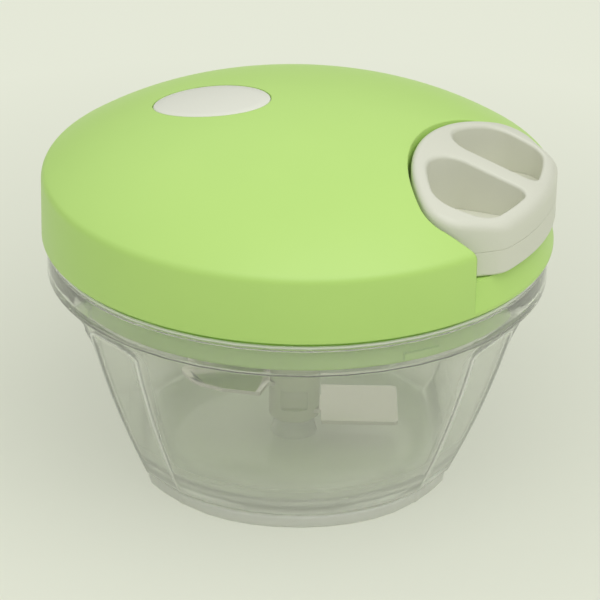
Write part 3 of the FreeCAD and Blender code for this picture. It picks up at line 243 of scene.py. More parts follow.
# %% Moulded plastic
def moulded(name, colour, deeper, roughness, grain_mm, grain_depth, ior=1.53):
    """A satin moulded plastic: two close colours, a spark-eroded grain and uneven gloss."""
    material, tree = start_material(name)
    place = add(tree, "TexCoord")
    flow = speckle(tree, place, 1 / 0.030, 2)
    tint = between(tree, colour, deeper, flow)
    gloss = add(tree, "MapRange", {"To Min": roughness - 0.04, "To Max": roughness + 0.04},
                [("Value", flow, 0)])
    spark = speckle(tree, place, 1 / (grain_mm * MM), 1)
    soft_edges = add(tree, "Bevel", {"Radius": 0.35 * MM, "samples": 6})
    grain = bump(tree, 0.35, grain_depth, spark, ("Normal", soft_edges, 0))
    surface = add(tree, "BsdfPrincipled", {"IOR": ior},
                  [("Base Color", tint, 2), ("Roughness", gloss, 0), ("Normal", grain, 0)])
    add(tree, "OutputMaterial", (), [(0, surface, 0)])
    return material


green_abs = moulded("green_abs_moulded", "#c2e87e", "#bce37a", 0.40, 0.3, 0.02)
white_abs = moulded("white_abs_moulded", "#e0e1d1", "#dcddcd", 0.38, 0.3, 0.02)
label_white = moulded("white_abs_polished", "#ecede0", "#e8e9dc", 0.24, 0.6, 0.008)
natural_acetal = moulded("natural_acetal_moulded", "#dcdcd2", "#d6d6cc", 0.34, 0.3, 0.015)
print("plastics:", green_abs.name, white_abs.name, label_white.name, natural_acetal.name)

# %% [markdown]
# ## Finishes: clear polystyrene
#
# The bowl is moulded in clear polystyrene, which bends light more than acrylic does and so draws
# dark and bright lines along every edge. A glass shader gives that. Real clear plastic also lets
# lamp light through to the food and the floor, which a path tracer finds hard, so rays that only
# ask whether a lamp is in sight pass straight through with a slight loss.
#
# A bowl that has been washed a few hundred times has a fine haze on its walls, and its raised
# edges are rubbed matt. Those edges and the lip under the lid are made milky beyond that, as a
# painted highlight: their white lines stand in for the bright lines that light draws there. How
# much haze there is comes from an attribute of the mesh for haze and painted highlight, which is 1
# along a rubbed edge and 0 where a surface is still polished or the mesh has none.

# %% Clear plastic
def clear_moulded(name, tint, roughness, ior, passes, clear=0.92, milky=0.15):
    """A clear moulded plastic that lets the lamps through; what isn't clear in it is milky."""
    material, tree = start_material(name)
    place = add(tree, "TexCoord")
    flow = speckle(tree, place, 1 / 0.018, 1)
    ripple = bump(tree, 0.12, 0.10, flow)
    # The attribute holds real haze, and also the milky edges and lip that are a painted highlight.
    haze_and_highlight = add(tree, "Attribute", {"attribute_name": "haze_and_highlight"})
    seen_through = add(tree, "MapRange", {"To Min": clear, "To Max": milky},
                       [("Value", haze_and_highlight, "Fac")])
    body = add(tree, "BsdfPrincipled",
               {"Base Color": paint(tint), "Roughness": roughness, "IOR": ior},
               [("Normal", ripple, 0), ("Transmission Weight", seen_through, 0)])
    through = add(tree, "BsdfTransparent", {"Color": paint(passes)})
    ray = add(tree, "LightPath")
    mixed = add(tree, "MixShader", (),
                [(0, ray, "Is Shadow Ray"), (1, body, 0), (2, through, 0)])
    add(tree, "OutputMaterial", (), [(0, mixed, 0)])
    return material


clear_styrene = clear_moulded("clear_polystyrene_moulded", "#f6f7f2", 0.02, 1.59, "#f6f8f3")
foot_rubber = clear_moulded("clear_soft_rubber_moulded", "#f2f3ec", 0.30, 1.49, "#eef0e8", 0.45)
seal_silicone = clear_moulded("clear_silicone_moulded", "#e9ebe4", 0.30, 1.43, "#d5d8cf", 0.5)
print("clear plastics:", clear_styrene.name, foot_rubber.name, seal_silicone.name)

# %% [markdown]
# ## Finishes: metals
#
# Blades are polished stainless strip: they mirror the room, and only faint straight marks are left
# of the rolling. Pin and screws are turned or rolled, so their marks run round and show more. One
# recipe serves them all, with the direction of the marks given by how far the noise is stretched
# along each axis. Marks are 0.15 mm apart, three times as coarse as real ones so that they show.

# %% Metals
def worked_metal(name, colour, roughness, stretch, mark_mm=0.15, marks_show=1.0):
    """A bare metal with tool marks; stretch says how long they are along x, y and z."""
    material, tree = start_material(name)
    place = add(tree, "TexCoord")
    lengths = add(tree, "Mapping",
                  {"Scale": tuple(1 / (mark_mm * MM * long) for long in stretch)},
                  [("Vector", place, "Object")])
    marks = add(tree, "TexNoise", {"Scale": 1.0, "Detail": 3}, [("Vector", lengths, 0)])
    smoother, rougher = roughness - 0.07 * marks_show, roughness + 0.09 * marks_show
    gloss = add(tree, "MapRange", {"To Min": smoother, "To Max": rougher},
                [("Value", marks, 0)])
    scratches = bump(tree, 0.25 * marks_show, 0.012, marks)
    surface = add(tree, "BsdfPrincipled", {"Base Color": paint(colour), "Metallic": 1.0},
                  [("Roughness", gloss, 0), ("Normal", scratches, 0)])
    add(tree, "OutputMaterial", (), [(0, surface, 0)])
    return material


blade_steel = worked_metal("stainless_steel_polished", "#e8e0e3", 0.14, (1, 60, 60),
                           marks_show=0.3)
pin_steel = worked_metal("stainless_steel_turned", "#cdccc8", 0.22, (30, 30, 1))
screw_steel = worked_metal("steel_zinc_plated", "#b9bab8", 0.32, (8, 8, 2))
spring_steel = worked_metal("spring_steel_blued", "#5d6473", 0.30, (40, 40, 1))
ferrule_brass = worked_metal("brass_crimped", "#c8a45c", 0.30, (1, 12, 12))
print("metals:", blade_steel.name, pin_steel.name, screw_steel.name, spring_steel.name)

# %% [markdown]
# ## Finishes: braided nylon
#
# The pull cord is a round braid: one set of strands winds round it to the left, one to the
# right, and they pass over and under each other. Two helical waves, one each way, make that from
# the angle round the cord and the distance along it. Eight strands go each way, and a strand
# goes once round in 8 mm.

# %% Braided nylon
CORD_RADIUS, CORD_HEIGHT = 0.9, 80.0


def braided(name, colour, shadow, strands=8, lay_mm=8.0, height_mm=CORD_HEIGHT):
    """A round braid that runs along x at a height above the table."""
    material, tree = start_material(name)
    place = add(tree, "TexCoord")
    split = add(tree, "SeparateXYZ", (), [(0, place, "Object")])
    raised = add(tree, "Math", {"operation": "SUBTRACT", 1: height_mm * MM}, [(0, split, "Z")])
    angle = add(tree, "Math", {"operation": "ARCTAN2"}, [(0, raised, 0), (1, split, "Y")])
    round_it = scaled(tree, angle, 0, float(strands))
    along = scaled(tree, split, "X", strands * 2 * math.pi / (lay_mm * MM))
    waves = []
    for way in ("ADD", "SUBTRACT"):
        phase = add(tree, "Math", {"operation": way}, [(0, along, 0), (1, round_it, 0)])
        waves.append(add(tree, "Math", {"operation": "COSINE"}, [(0, phase, 0)]))
    braid = add(tree, "Math", {"operation": "MAXIMUM"}, [(0, waves[0], 0), (1, waves[1], 0)])
    strand = add(tree, "MapRange", {"From Min": -1.0, "From Max": 1.0}, [("Value", braid, 0)])
    # The grooves between strands are painted darker: painted shade, beside the bump's real relief.
    tint = between(tree, shadow, colour, strand)
    relief = bump(tree, 0.8, 0.15, strand)
    surface = add(tree, "BsdfPrincipled",
                  {"Roughness": 0.62, "Sheen Weight": 0.25, "Sheen Roughness": 0.4, "IOR": 1.53},
                  [("Base Color", tint, 2), ("Normal", relief, 0)])
    add(tree, "OutputMaterial", (), [(0, surface, 0)])
    return material


braided_nylon = braided("braided_nylon", "#ecece4", "#9d9d94")
print("cord finish:", braided_nylon.name)

# %% [markdown]
# ## CAD parts that keep their shape
#
# Screws, spring, spool, clutch and the lid's green base are right as they come from CAD. They
# stay as they are and only take a finish, by putting it in the material slots of their objects.

# %% Finishes for the CAD parts
finished = []
for finish, nodes in (
        (green_abs, "lid_base"), (seal_silicone, "lid_seal"), (white_abs, "blade_spindle"),
        (natural_acetal, "shaft_bush cord_guide drive_wheel pawl_a pawl_b pawl_carrier"),
        (natural_acetal, "spool spring_cup"), (pin_steel, "blade_pin pawl_pins spool_axle"),
        (screw_steel, "lid_screws spring_cup_screws handle_screw"),
        (spring_steel, "rewind_spring"), (braided_nylon, "cord_coil"),
        (ferrule_brass, "cord_ferrule")):
    for node in nodes.split():
        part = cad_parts[node]
        part.data.materials.clear()
        part.data.materials.append(finish)
        finished.append(node)
print(len(finished), "CAD parts finished")

# %% [markdown]
# ## Drawing lines and turning them on a lathe
#
# Most pieces of this chopper are round, and a round piece is half of its cross-section turned
# about the axis. The section is drawn with one point: pushed straight to a place, or swung about
# the centre of an arc. Then bmesh's spin turns it, as a lathe would. All drawing is done in
# millimetres, and the finished piece is scaled to metres at the end.

# %% Drawing and turning
UP, ACROSS, CREASE = (0, 0, 1), (0, -1, 0), 32
VERT, EDGE, FACE = bmesh.types.BMVert, bmesh.types.BMEdge, bmesh.types.BMFace


def only(kind, items):
    """The vertices, edges or faces among the items that an operator gives back."""
    return [item for item in items if isinstance(item, kind)]


def draw(bm, start, moves, axis):
    """Draws a line. A move is a point to go straight to, or (centre, degrees, steps) to swing."""
    before = set(bm.edges)
    first = pen = bm.verts.new(start)
    for move in moves:
        if isinstance(move[0], (int, float)):
            pen = bmesh.ops.extrude_vert_indiv(bm, verts=[pen])["verts"][0]
            pen.co = move
        else:
            centre, degrees, steps = move
            swung = bmesh.ops.spin(bm, geom=[pen], cent=centre, axis=axis, dvec=(0, 0, 0),
                                   angle=math.radians(degrees), steps=steps)
            pen = only(VERT, swung["geom_last"])[0]
    if (pen.co - first.co).length < 0.05:
        bmesh.ops.weld_verts(bm, targetmap={pen: first})
    return [edge for edge in bm.edges if edge not in before]


def placed(moves, place, way=1):
    """Puts flat moves into space with a function of two numbers; way -1 turns swings round."""
    return [(place(*move[0]), move[1] * way, move[2]) if isinstance(move[0], tuple)
            else place(*move) for move in moves]


def section(bm, start, moves):
    """Draws a cross-section in the plane y = 0; points and centres are (radius, height)."""
    spots = placed([start, *moves], lambda radius, height: (radius, 0, height))
    return draw(bm, spots[0], spots[1:], ACROSS)


def turn_on_lathe(bm, edges, steps):
    """Turns a drawn section once round the z axis and closes it."""
    points = list({vert for edge in edges for vert in edge.verts})
    bmesh.ops.spin(bm, geom=points + edges, cent=(0, 0, 0), axis=UP, dvec=(0, 0, 0),
                   angle=2 * math.pi, steps=steps, use_merge=True)
    bmesh.ops.remove_doubles(bm, verts=bm.verts, dist=1e-4)


def lifted(edges, height):
    """Lifts a drawn outline to a height, given as a number or as a function of x and y."""
    for vert in {vert for edge in edges for vert in edge.verts}:
        vert.co.z = height(vert.co.x, vert.co.y) if callable(height) else height
    return edges


def stack(bm, rings):
    """Bridges a stack of outlines into a wall and gives back its first and last outline."""
    for lower, upper in zip(rings, rings[1:]):
        bmesh.ops.bridge_loops(bm, edges=lower + upper)
    return rings[0], rings[-1]


def swivel(bm, degrees):
    """Turns a drawing about the z axis."""
    bmesh.ops.rotate(bm, cent=(0, 0, 0), matrix=Matrix.Rotation(math.radians(degrees), 3, "Z"),
                     verts=bm.verts)


def smooth(mesh, crease):
    """Shades a mesh smooth, apart from edges that are sharper than the crease in degrees."""
    mesh.shade_smooth()
    mesh.set_sharp_from_angle(angle=math.radians(crease))


def as_tool(bm, name):
    """Makes a drawing in millimetres an object. Left like that, it is a cutter for Booleans."""
    bmesh.ops.recalc_face_normals(bm, faces=bm.faces)
    if bm.calc_volume(signed=True) < 0:
        bmesh.ops.reverse_faces(bm, faces=bm.faces)
    bmesh.ops.scale(bm, vec=(MM, MM, MM), verts=bm.verts)
    mesh = bpy.data.meshes.new(name)
    bm.to_mesh(mesh)
    bm.free()
    tool = bpy.data.objects.new(name, mesh)
    scene.collection.objects.link(tool)
    return tool


def make_piece(bm, name, finish, body, stands_for, crease=CREASE):
    """Makes a drawing a piece that rides on a body and stands for CAD nodes."""
    piece = as_tool(bm, name)
    piece.data.materials.append(finish)
    smooth(piece.data, crease)
    if body:
        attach(piece, body)
    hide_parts(*stands_for)
    print(f"{name}: {len(piece.data.polygons)} faces")
    return piece


def carve(piece, tools, operation="DIFFERENCE"):
    """Applies Boolean modifiers to a piece, takes the tools away and cleans up slivers."""
    for tool in tools:
        step = piece.modifiers.new(tool.name, "BOOLEAN")
        step.object, step.operation, step.solver = tool, operation, "EXACT"
    bpy.context.view_layer.update()
    evaluated = piece.evaluated_get(bpy.context.evaluated_depsgraph_get())
    carved = bpy.data.meshes.new_from_object(evaluated)
    piece.modifiers.clear()
    piece.data = carved
    cleaned = bmesh.new()
    cleaned.from_mesh(carved)
    bmesh.ops.triangulate(cleaned, faces=[face for face in cleaned.faces if len(face.verts) > 4])
    bmesh.ops.dissolve_degenerate(cleaned, dist=0.002 * MM, edges=cleaned.edges)
    cleaned.to_mesh(carved)
    cleaned.free()
    smooth(carved, CREASE)
    for tool in tools:
        bpy.data.objects.remove(tool)


def round_bar(name, radius, middle, length, lying=False):
    """A round bar as a cutter, upright or lying along x."""
    bm = bmesh.new()
    lie = Matrix.Rotation(math.pi / 2, 4, "Y") if lying else Matrix()
    bmesh.ops.create_cone(bm, cap_ends=True, segments=48, radius1=radius, radius2=radius,
                          depth=length, matrix=Matrix.Translation(middle) @ lie)
    return as_tool(bm, name)


print("drawing tools ready")

# %% [markdown]
# ## The clear bowl
#
# The bowl tapers down from a round band, and its wall bellies out a little on the way. Two broad
# flats on opposite sides give a wet hand something to hold, and a narrow flat runs down beside
# each of them. Where a flat meets the band it sweeps outwards in an arch.
#
# The wall is turned first as if the bowl were round. Then every point is drawn in to the nearest
# flat. Drawing in with a soft minimum, and not a sharp one, rounds the edge between flat and
# cone by a fraction of a millimetre, as a polished mould does. A low bead stands along that edge,
# and the two together catch the bright lines down the bowl.
#
# The bead and the lip are rubbed matt, and made milky white beyond that as a painted highlight
# line; the wall is hazed a little low down, and the floor is scratched.
#
# A flat is its side, the degrees it spans, the radius of its arch and how far the arch swings.

# %% Shape of the bowl's wall
FOOT, BAND_FOOT, SHOULDER, WALL = 3.2, 50.9, 50.2, 2.2
BASE_RADIUS, SHOULDER_RADIUS = 42.0, 59.0
TAPER = (SHOULDER_RADIUS - BASE_RADIUS) / (BAND_FOOT - FOOT)
SLOPE = math.hypot(1, TAPER)
BOWL_TURN, BELLY = 22.8, 1.4
BEAD_HEIGHT, BEAD_WIDTH, NEAR_BEAD = 0.24, 0.75, 2.0
# The edge haze widens the milky line along each flat's edge, a painted highlight.
WALL_HAZE, EDGE_HIGHLIGHT_HAZE, LOW_HAZE, BASE_HAZE = 0.06, 0.30, 0.34, 0.7
BROAD, NARROW, NARROW_AWAY = (57.0, 12.0, 70.0), (17.5, 6.0, 50.0), 37.25
FLATS = [(side, *BROAD) for side in (0, 180)]
FLATS += [(side + way, *NARROW) for side in (0, 180) for way in (NARROW_AWAY, -NARROW_AWAY)]


def cone(height):
    """Outside radius of the round bowl at a height."""
    return BASE_RADIUS + TAPER * (height - FOOT)


def flat_reach(height, inset, span, sweep, swing):
    """How far a flat stands from the axis at a height; beyond its sweep there is no flat."""
    cosine = math.cos(math.radians(span / 2))
    lean = TAPER * cosine
    length = math.hypot(1, lean)
    turned = math.radians(swing)
    climb = math.sin(turned) + math.cos(turned) * lean
    rise = sweep * (climb / length - lean / length)
    high = BAND_FOOT - 0.4 - WALL - rise
    start_u = cone(high) * cosine - inset / length
    start_z = high + inset * lean / length
    if height <= start_z:
        return cone(height) * cosine - inset * length
    radius = sweep + inset
    centre_u, centre_z = start_u + radius / length, start_z - radius * lean / length
    end_z = centre_z + radius * climb / length
    if height >= end_z:
        return None
    return centre_u - math.sqrt(radius ** 2 - (height - centre_z) ** 2)


def drawn_in(radius, height, inset, angle, soft=0.15):
    """The wall's radius after the flats have cut into it, and how rubbed it is there; the rubbed
    edges are made milky as a painted highlight.
    """
    cuts, bead, near = [radius], 0.0, 0.0
    for side, span, sweep, swing in FLATS:
        away = (math.degrees(angle) - side + 180) % 360 - 180
        if abs(away) < 60:
            reach_there = flat_reach(height, inset, span, sweep, swing)
            if reach_there is not None:
                cuts.append(reach_there / math.cos(math.radians(away)))
                width = BEAD_WIDTH * math.tan(math.radians(span / 2))
                bead = max(bead, math.exp(-((cuts[-1] - radius) / width) ** 2))
                near = max(near, math.exp(-((cuts[-1] - radius) / NEAR_BEAD) ** 2))
    least = min(cuts)
    soft_least = least - soft * math.log(sum(math.exp((least - cut) / soft) for cut in cuts))
    outside = max(0.0, 1.0 - inset / 0.5)
    # Milky rubbed edges stand in for the bright lines light draws there: painted highlight, partly
    # real wear.
    return soft_least + BEAD_HEIGHT * bead * outside, max(bead, EDGE_HIGHLIGHT_HAZE * near) * outside


def wear_and_highlight(height, rubbed_and_highlit, inset):
    """How hazy the wall is: most on rubbed edges, made milky as a painted highlight, and along the
    base, least half way up.
    """
    low_down = min(max((20 - height) / 14, 0.0), 1.0)
    base = BASE_HAZE if inset < 0.5 and 3.5 < height < 6 else 0.0
    return max(WALL_HAZE + LOW_HAZE * low_down, rubbed_and_highlit, base)


def bulge(height):
    """How far the wall bellies out at a height."""
    share = min(max((height - FOOT) / (SHOULDER - FOOT), 0.0), 1.0)
    return 4 * BELLY * share * (1 - share)


print("wall leans", round(math.degrees(math.atan(TAPER)), 1), "degrees")
print("broad flat stands at", round(flat_reach(20, 0, *BROAD), 2), "mm at 20 mm height")

# %% [markdown]
# The section goes once round the bowl's wall: under the floor with its groove for the foot ring,
# up the outside, over the thin lip that stands round the lid, over the rim, down the inside, and
# over the boss that holds the blades' steel pin. Long runs are divided into short ones, because
# the flats need points to bend.

# %% Turn the bowl and draw in its flats
FLAT_ENDS = (BROAD[0] / 2, NARROW_AWAY + NARROW[0] / 2)
EDGES = sorted((side + end) % 360 for side in (0, 180)
               for half in FLAT_ENDS for end in (half, -half))
NEAR_EDGE, FEW, MANY, REST = 3, 10, 24, 20
FLOOR_TOP, FILLET, ARCH = 5.8, 4.0, 36.0
GROOVE, GROOVE_TOP = (37.2, 39.1), 4.5
LIP, LIP_OUT, LIP_ROUND, LIP_SIDE, RIM = 58.45, 61.3, 0.38, 0.75, 56.7
PIN_BORE, PIN_FOOT = 2.0, 4.1
SCRATCHED_RADIUS, SCRATCHED_HAZE, BOSS_RADIUS = 38, 0.8, 10


def turn_finely(bm):
    """Turns a section once round, in finer steps near the flats' edges than between them."""
    turned, last = 0.0, list(bm.verts) + list(bm.edges)
    stops = [(edge + way, count) for edge in EDGES
             for way, count in ((-NEAR_EDGE, FEW), (NEAR_EDGE, MANY))]
    for stop, steps in stops + [(360, REST)]:
        spun = bmesh.ops.spin(bm, geom=last, cent=(0, 0, 0), axis=UP, dvec=(0, 0, 0),
                              angle=math.radians(stop - turned), steps=steps)
        turned, last = stop, spun["geom_last"]
    bmesh.ops.remove_doubles(bm, verts=bm.verts, dist=2e-3)


def haze_and_lip_highlight(radius, height):
    """How hazy the lip is, the scratched floor, the boss and the rest that no flat cuts; the lip is
    made fully milky as a painted highlight line.
    """
    # The lip is fully milky: a painted highlight line under the lid.
    if height > LIP - 0.6:
        return 1.0
    if radius < SCRATCHED_RADIUS and 5 < height < 8:
        return SCRATCHED_HAZE
    return 0.6 if radius < BOSS_RADIUS else 0.05


bowl = bmesh.new()
inner_foot = cone(FLOOR_TOP) - WALL * SLOPE
fillet = FILLET * (SLOPE - TAPER)
underside = [(GROOVE[0], FOOT), (GROOVE[0], GROOVE_TOP), (GROOVE[1], GROOVE_TOP),
             (GROOVE[1], FOOT), (41.2, FOOT), ((41.2, FOOT + 1), 70.4, 4)]
outside = [(cone(ARCH), ARCH), (cone(SHOULDER), SHOULDER), (59.6, 50.3), (60.9, 50.4),
           ((60.9, 50.8), 90, 3)]
lip = [(LIP_OUT, LIP - LIP_SIDE), (LIP_OUT, LIP - LIP_ROUND),
       ((LIP_OUT - LIP_ROUND, LIP - LIP_ROUND), 180, 8), (60.54, LIP - LIP_SIDE)]
rim = [(60.53, 57.3), (60.4, 56.95), (60.2, 56.75), (59.95, RIM), (58.6, RIM),
       ((58.6, RIM - 0.3), 90, 3)]
inside = [(58.3, 51.0), (58.1, 50.3), (57.4, 49.9), (cone(49.5) - WALL * SLOPE, 49.5),
          (cone(ARCH) - WALL * SLOPE, ARCH),
          (inner_foot + fillet * TAPER / SLOPE, FLOOR_TOP + fillet / SLOPE),
          (inner_foot - fillet * 0.25, FLOOR_TOP + 0.9), (inner_foot - fillet, FLOOR_TOP)]
boss = [(5.8, FLOOR_TOP), (4.6, 10.1), ((4.3, 10.1), 90, 2), (PIN_BORE, 10.4),
        (PIN_BORE, PIN_FOOT), (0, PIN_FOOT)]
outline = section(bowl, (0, FOOT), underside + outside + lip + rim + inside + boss)
tall = {edge: abs(edge.verts[0].co.z - edge.verts[1].co.z) for edge in outline
        if max(vert.co.x for vert in edge.verts) > 30}
lower_runs = [e for e in tall if tall[e] > 20]
arch_runs = [e for e in tall if 12 < tall[e] < 20]
across = [e for e in bowl.edges if e.calc_length() > 12 and e not in lower_runs + arch_runs]
for runs, cuts in ((lower_runs, 12), (arch_runs, 34), (across, 3)):
    bmesh.ops.subdivide_edges(bowl, edges=runs, cuts=cuts)

turn_finely(bowl)

haze_and_highlight = bowl.verts.layers.float.new("haze_and_highlight")
for vert in bowl.verts:
    radius, height = math.hypot(vert.co.x, vert.co.y), vert.co.z
    milky = haze_and_lip_highlight(radius, height)
    vert[haze_and_highlight] = milky
    if radius < BOSS_RADIUS or height > 50.25 and radius > 57.5:
        continue
    wall_here = cone(height)
    inset = min(max((wall_here - radius) / SLOPE, 0), WALL)
    full = wall_here - inset * SLOPE
    drawn, rubbed_and_highlit = drawn_in(full, height, inset, math.atan2(vert.co.y, vert.co.x))
    if milky != SCRATCHED_HAZE:
        vert[haze_and_highlight] = wear_and_highlight(height, rubbed_and_highlit, inset) if height > 3.5 else 0.02
    share = (drawn + bulge(height)) / full
    vert.co.x *= share
    vert.co.y *= share
swivel(bowl, BOWL_TURN)
make_piece(bowl, "clear_bowl", clear_styrene, "bowl", ["bowl"], crease=40)

# %% [markdown]
# ## The foot ring
#
# A soft, clear ring is pressed into a groove under the bowl and keeps it from sliding. It is one
# rounded section turned once round. Its outside is drawn in as the bowl's base is, so that it
# follows the flats, and its inside stays round. The part of it that is hidden under the bowl is
# milky, and the rest as clear as such rubber gets.

# %% Foot ring
RING_IN, RING_OUT, RING_TOP = 30.4, 42.5, 3.15
BOTTOM_ROUND, TOP_ROUND, INNER_ROUND = 0.8, 0.55, 0.3
TONGUE, TONGUE_TOP = (37.55, 38.75), 4.4
HIDDEN_RADIUS, ROUND_RADIUS, RING_SOFT = 40, 35, 1.6

foot = bmesh.new()
section(foot, (RING_IN + BOTTOM_ROUND, 0), [
    (RING_OUT - BOTTOM_ROUND, 0), ((RING_OUT - BOTTOM_ROUND, BOTTOM_ROUND), 90, 4),
    (RING_OUT, RING_TOP - TOP_ROUND), ((RING_OUT - TOP_ROUND, RING_TOP - TOP_ROUND), 90, 3),
    (TONGUE[1], RING_TOP), (TONGUE[1], TONGUE_TOP), (TONGUE[0], TONGUE_TOP),
    (TONGUE[0], RING_TOP), (RING_IN + INNER_ROUND, RING_TOP),
    ((RING_IN + INNER_ROUND, RING_TOP - INNER_ROUND), 90, 2), (RING_IN, BOTTOM_ROUND),
    ((RING_IN + BOTTOM_ROUND, BOTTOM_ROUND), 90, 4),
])
turn_finely(foot)
haze_and_highlight = foot.verts.layers.float.new("haze_and_highlight")
for vert in foot.verts:
    radius = math.hypot(vert.co.x, vert.co.y)
    vert[haze_and_highlight] = 1.0 if radius < HIDDEN_RADIUS else 0.0
    if radius < ROUND_RADIUS:
        continue
    drawn = drawn_in(cone(FOOT), FOOT, 0, math.atan2(vert.co.y, vert.co.x), soft=RING_SOFT)[0]
    vert.co.x *= drawn / cone(FOOT)
    vert.co.y *= drawn / cone(FOOT)
swivel(foot, BOWL_TURN)
make_piece(foot, "foot_ring", foot_rubber, "bowl", ["non_slip_foot"])

# %% [markdown]
# ## The lid's dome
#
# The dome is a flat crown that falls away more steeply towards its edge and then rolls over, in
# one small arc, into an upright side. Each of these is an arc about a known centre, so the
# section is drawn with arcs and turned. The hollow inside is the same section, a wall thickness
# further in.
#
# The handle's dock is a tub that hangs in the dome. The hollow leaves its walls standing, and the
# tub's own room is then carved out from above. Carving uses exact Booleans: that is simpler than
# modelling where two curved walls meet, and the dome is dense enough for a clean line.

# %% Dome section
LID_EDGE, LID_TOP, LID_RADIUS, LID_WALL = 59.6, 92.6, 62.5, 2.0
CROWN_ARC, CROWN_RUN, CROWN_DROP, SHOULDER_ARC, ROLL = 144.384, 36.0, 4.56, 80.8, 2.74
crown_turn = math.degrees(math.asin(CROWN_RUN / CROWN_ARC))
crown_edge = (CROWN_RUN, LID_TOP - CROWN_DROP)
shoulder_centre = (CROWN_RUN - SHOULDER_ARC * math.sin(math.radians(crown_turn)),
                   crown_edge[1] - SHOULDER_ARC * math.cos(math.radians(crown_turn)))
dome_edge = (61.3, 76.6)
shoulder_turn = math.degrees(math.atan2(dome_edge[0] - shoulder_centre[0],
                                        dome_edge[1] - shoulder_centre[1])) - crown_turn
edge_turn = crown_turn + shoulder_turn
roll_centre = (dome_edge[0] - ROLL * math.sin(math.radians(edge_turn)),
               dome_edge[1] - ROLL * math.cos(math.radians(edge_turn)))


def dome_height(x, y, inset=0.0):
    """Height of the dome over a point of the plan, on the surface an inset further in."""
    radius = math.hypot(x, y)
    if radius < CROWN_RUN * (1 - inset / CROWN_ARC):
        return LID_TOP - CROWN_ARC + math.sqrt((CROWN_ARC - inset) ** 2 - radius ** 2)
    run = min(radius, dome_edge[0]) - shoulder_centre[0]
    return shoulder_centre[1] + math.sqrt((SHOULDER_ARC - inset) ** 2 - run ** 2)


def dome_line(inset, roll, low):
    """The moves that draw the dome from its top down to its lower edge."""
    return [((0, LID_TOP - CROWN_ARC), -crown_turn, 14), (shoulder_centre, -shoulder_turn, 18),
            (roll_centre, edge_turn - 90, roll), (LID_RADIUS - inset, low)]


print("crown turns", round(crown_turn, 2), "shoulder", round(shoulder_turn, 2), "degrees")
print("roll centre", [round(v, 2) for v in roll_centre])

# %% [markdown]
# The plan of the dock follows the handle: a wide nose arc, two round corners, then straight out
# through the side of the lid. Grown outlines keep the same centres, so the gap round the handle
# is even.

# %% Dock plan
NOSE, CORNER, CORNER_ROUND, BEYOND_LID = (71.2, 0), (46.033, 21.5), 7.6, 72.0
NOSE_TURN = math.degrees(math.atan2(CORNER[1], CORNER[0] - NOSE[0]))


def dock_plan(bm, grow, height):
    """Draws the dock's outline at a height, closed beyond the lid's side."""
    corner = CORNER_ROUND + grow
    start = (CORNER[0], CORNER[1] + corner, height)
    centre = (*CORNER, height)
    mirrored = (CORNER[0], -CORNER[1], height)
    return draw(bm, start, [
        (centre, NOSE_TURN - 90, 12), ((*NOSE, height), 2 * (180 - NOSE_TURN), 40),
        (mirrored, NOSE_TURN - 90, 12), (BEYOND_LID, -CORNER[1] - corner, height),
        (BEYOND_LID, CORNER[1] + corner, height), start,
    ], UP)


def dock_tool(name, grow, low, high, flare=0.0):
    """A cutter of the dock's plan; with a flare its mouth is rounded where it leaves the dome."""
    bm = bmesh.new()
    rings, mouth, steps = [dock_plan(bm, grow, low)], flare * 2.2, []
    if flare:
        for share in map(math.radians, (0, 25, 50, 72)):
            steps.append((flare * (1 - math.cos(share)), flare * (1 - math.sin(share))))
        steps.append((mouth, -flare * 0.6))
    for out, drop in steps:
        ring = dock_plan(bm, grow + out, high)
        rings.append(lifted(ring, lambda x, y, drop=drop: dome_height(x, y) - drop))
    rings.append(dock_plan(bm, grow + mouth, high))
    for ring in stack(bm, rings):
        bmesh.ops.contextual_create(bm, geom=ring)
    return as_tool(bm, name)


print("nose arc spans", round(2 * (180 - NOSE_TURN), 1), "degrees")

# %% [markdown]
# ## The oval label plate
#
# A plain white oval plate lies in a shallow seat in the crown, flush with it. The seat and the
# plate are the same shape, one drawn 0.15 mm larger than the other, so one function makes both.
# The plate's rim is rounded, and that is what makes it read as a separate part.

# %% Oval plate and its seat
PLATE_X, PLATE_HALF_LONG, PLATE_HALF_WIDE, PLATE_MEAN = -22.8, 14.75, 10.7, 12


def oval(grow, top_inset, bottom_inset, rounding):
    """A thin oval that follows the dome, from one inset below its surface to another."""
    bm = bmesh.new()
    made = bmesh.ops.create_circle(bm, cap_ends=False, segments=96, radius=1.0)
    rim = list(bm.edges)
    sizes = [(1.0, bottom_inset), (1.0, top_inset + rounding)]
    for share in map(math.radians, (30, 60, 90)):
        sizes.append((1.0 - rounding * (1 - math.cos(share)) / PLATE_MEAN,
                      top_inset + rounding * (1 - math.sin(share))))
    sizes += [(size, top_inset) for size in (0.8, 0.6, 0.4, 0.2)]
    rings = [(made["verts"], *sizes[0])]
    for size, inset in sizes[1:]:
        pushed = bmesh.ops.extrude_edge_only(bm, edges=rim)["geom"]
        verts = only(VERT, pushed)
        rim = [edge for edge in only(EDGE, pushed) if set(edge.verts) <= set(verts)]
        last = rings[-1][1]
        bmesh.ops.scale(bm, vec=(size / last, size / last, 1), verts=verts)
        rings.append((verts, size, inset))
    bmesh.ops.contextual_create(bm, geom=rim)
    bmesh.ops.contextual_create(bm, geom=[edge for edge in bm.edges if edge.is_boundary])
    for verts, size, inset in rings:
        for vert in verts:
            vert.co.x = PLATE_X + vert.co.x * (PLATE_HALF_LONG + grow)
            vert.co.y = vert.co.y * (PLATE_HALF_WIDE + grow)
            vert.co.z = dome_height(vert.co.x, vert.co.y) - inset
    return bm


make_piece(oval(0.0, 0.02, 0.75, 0.3), "label_plate", label_white, "lid", ["label_inlay"])

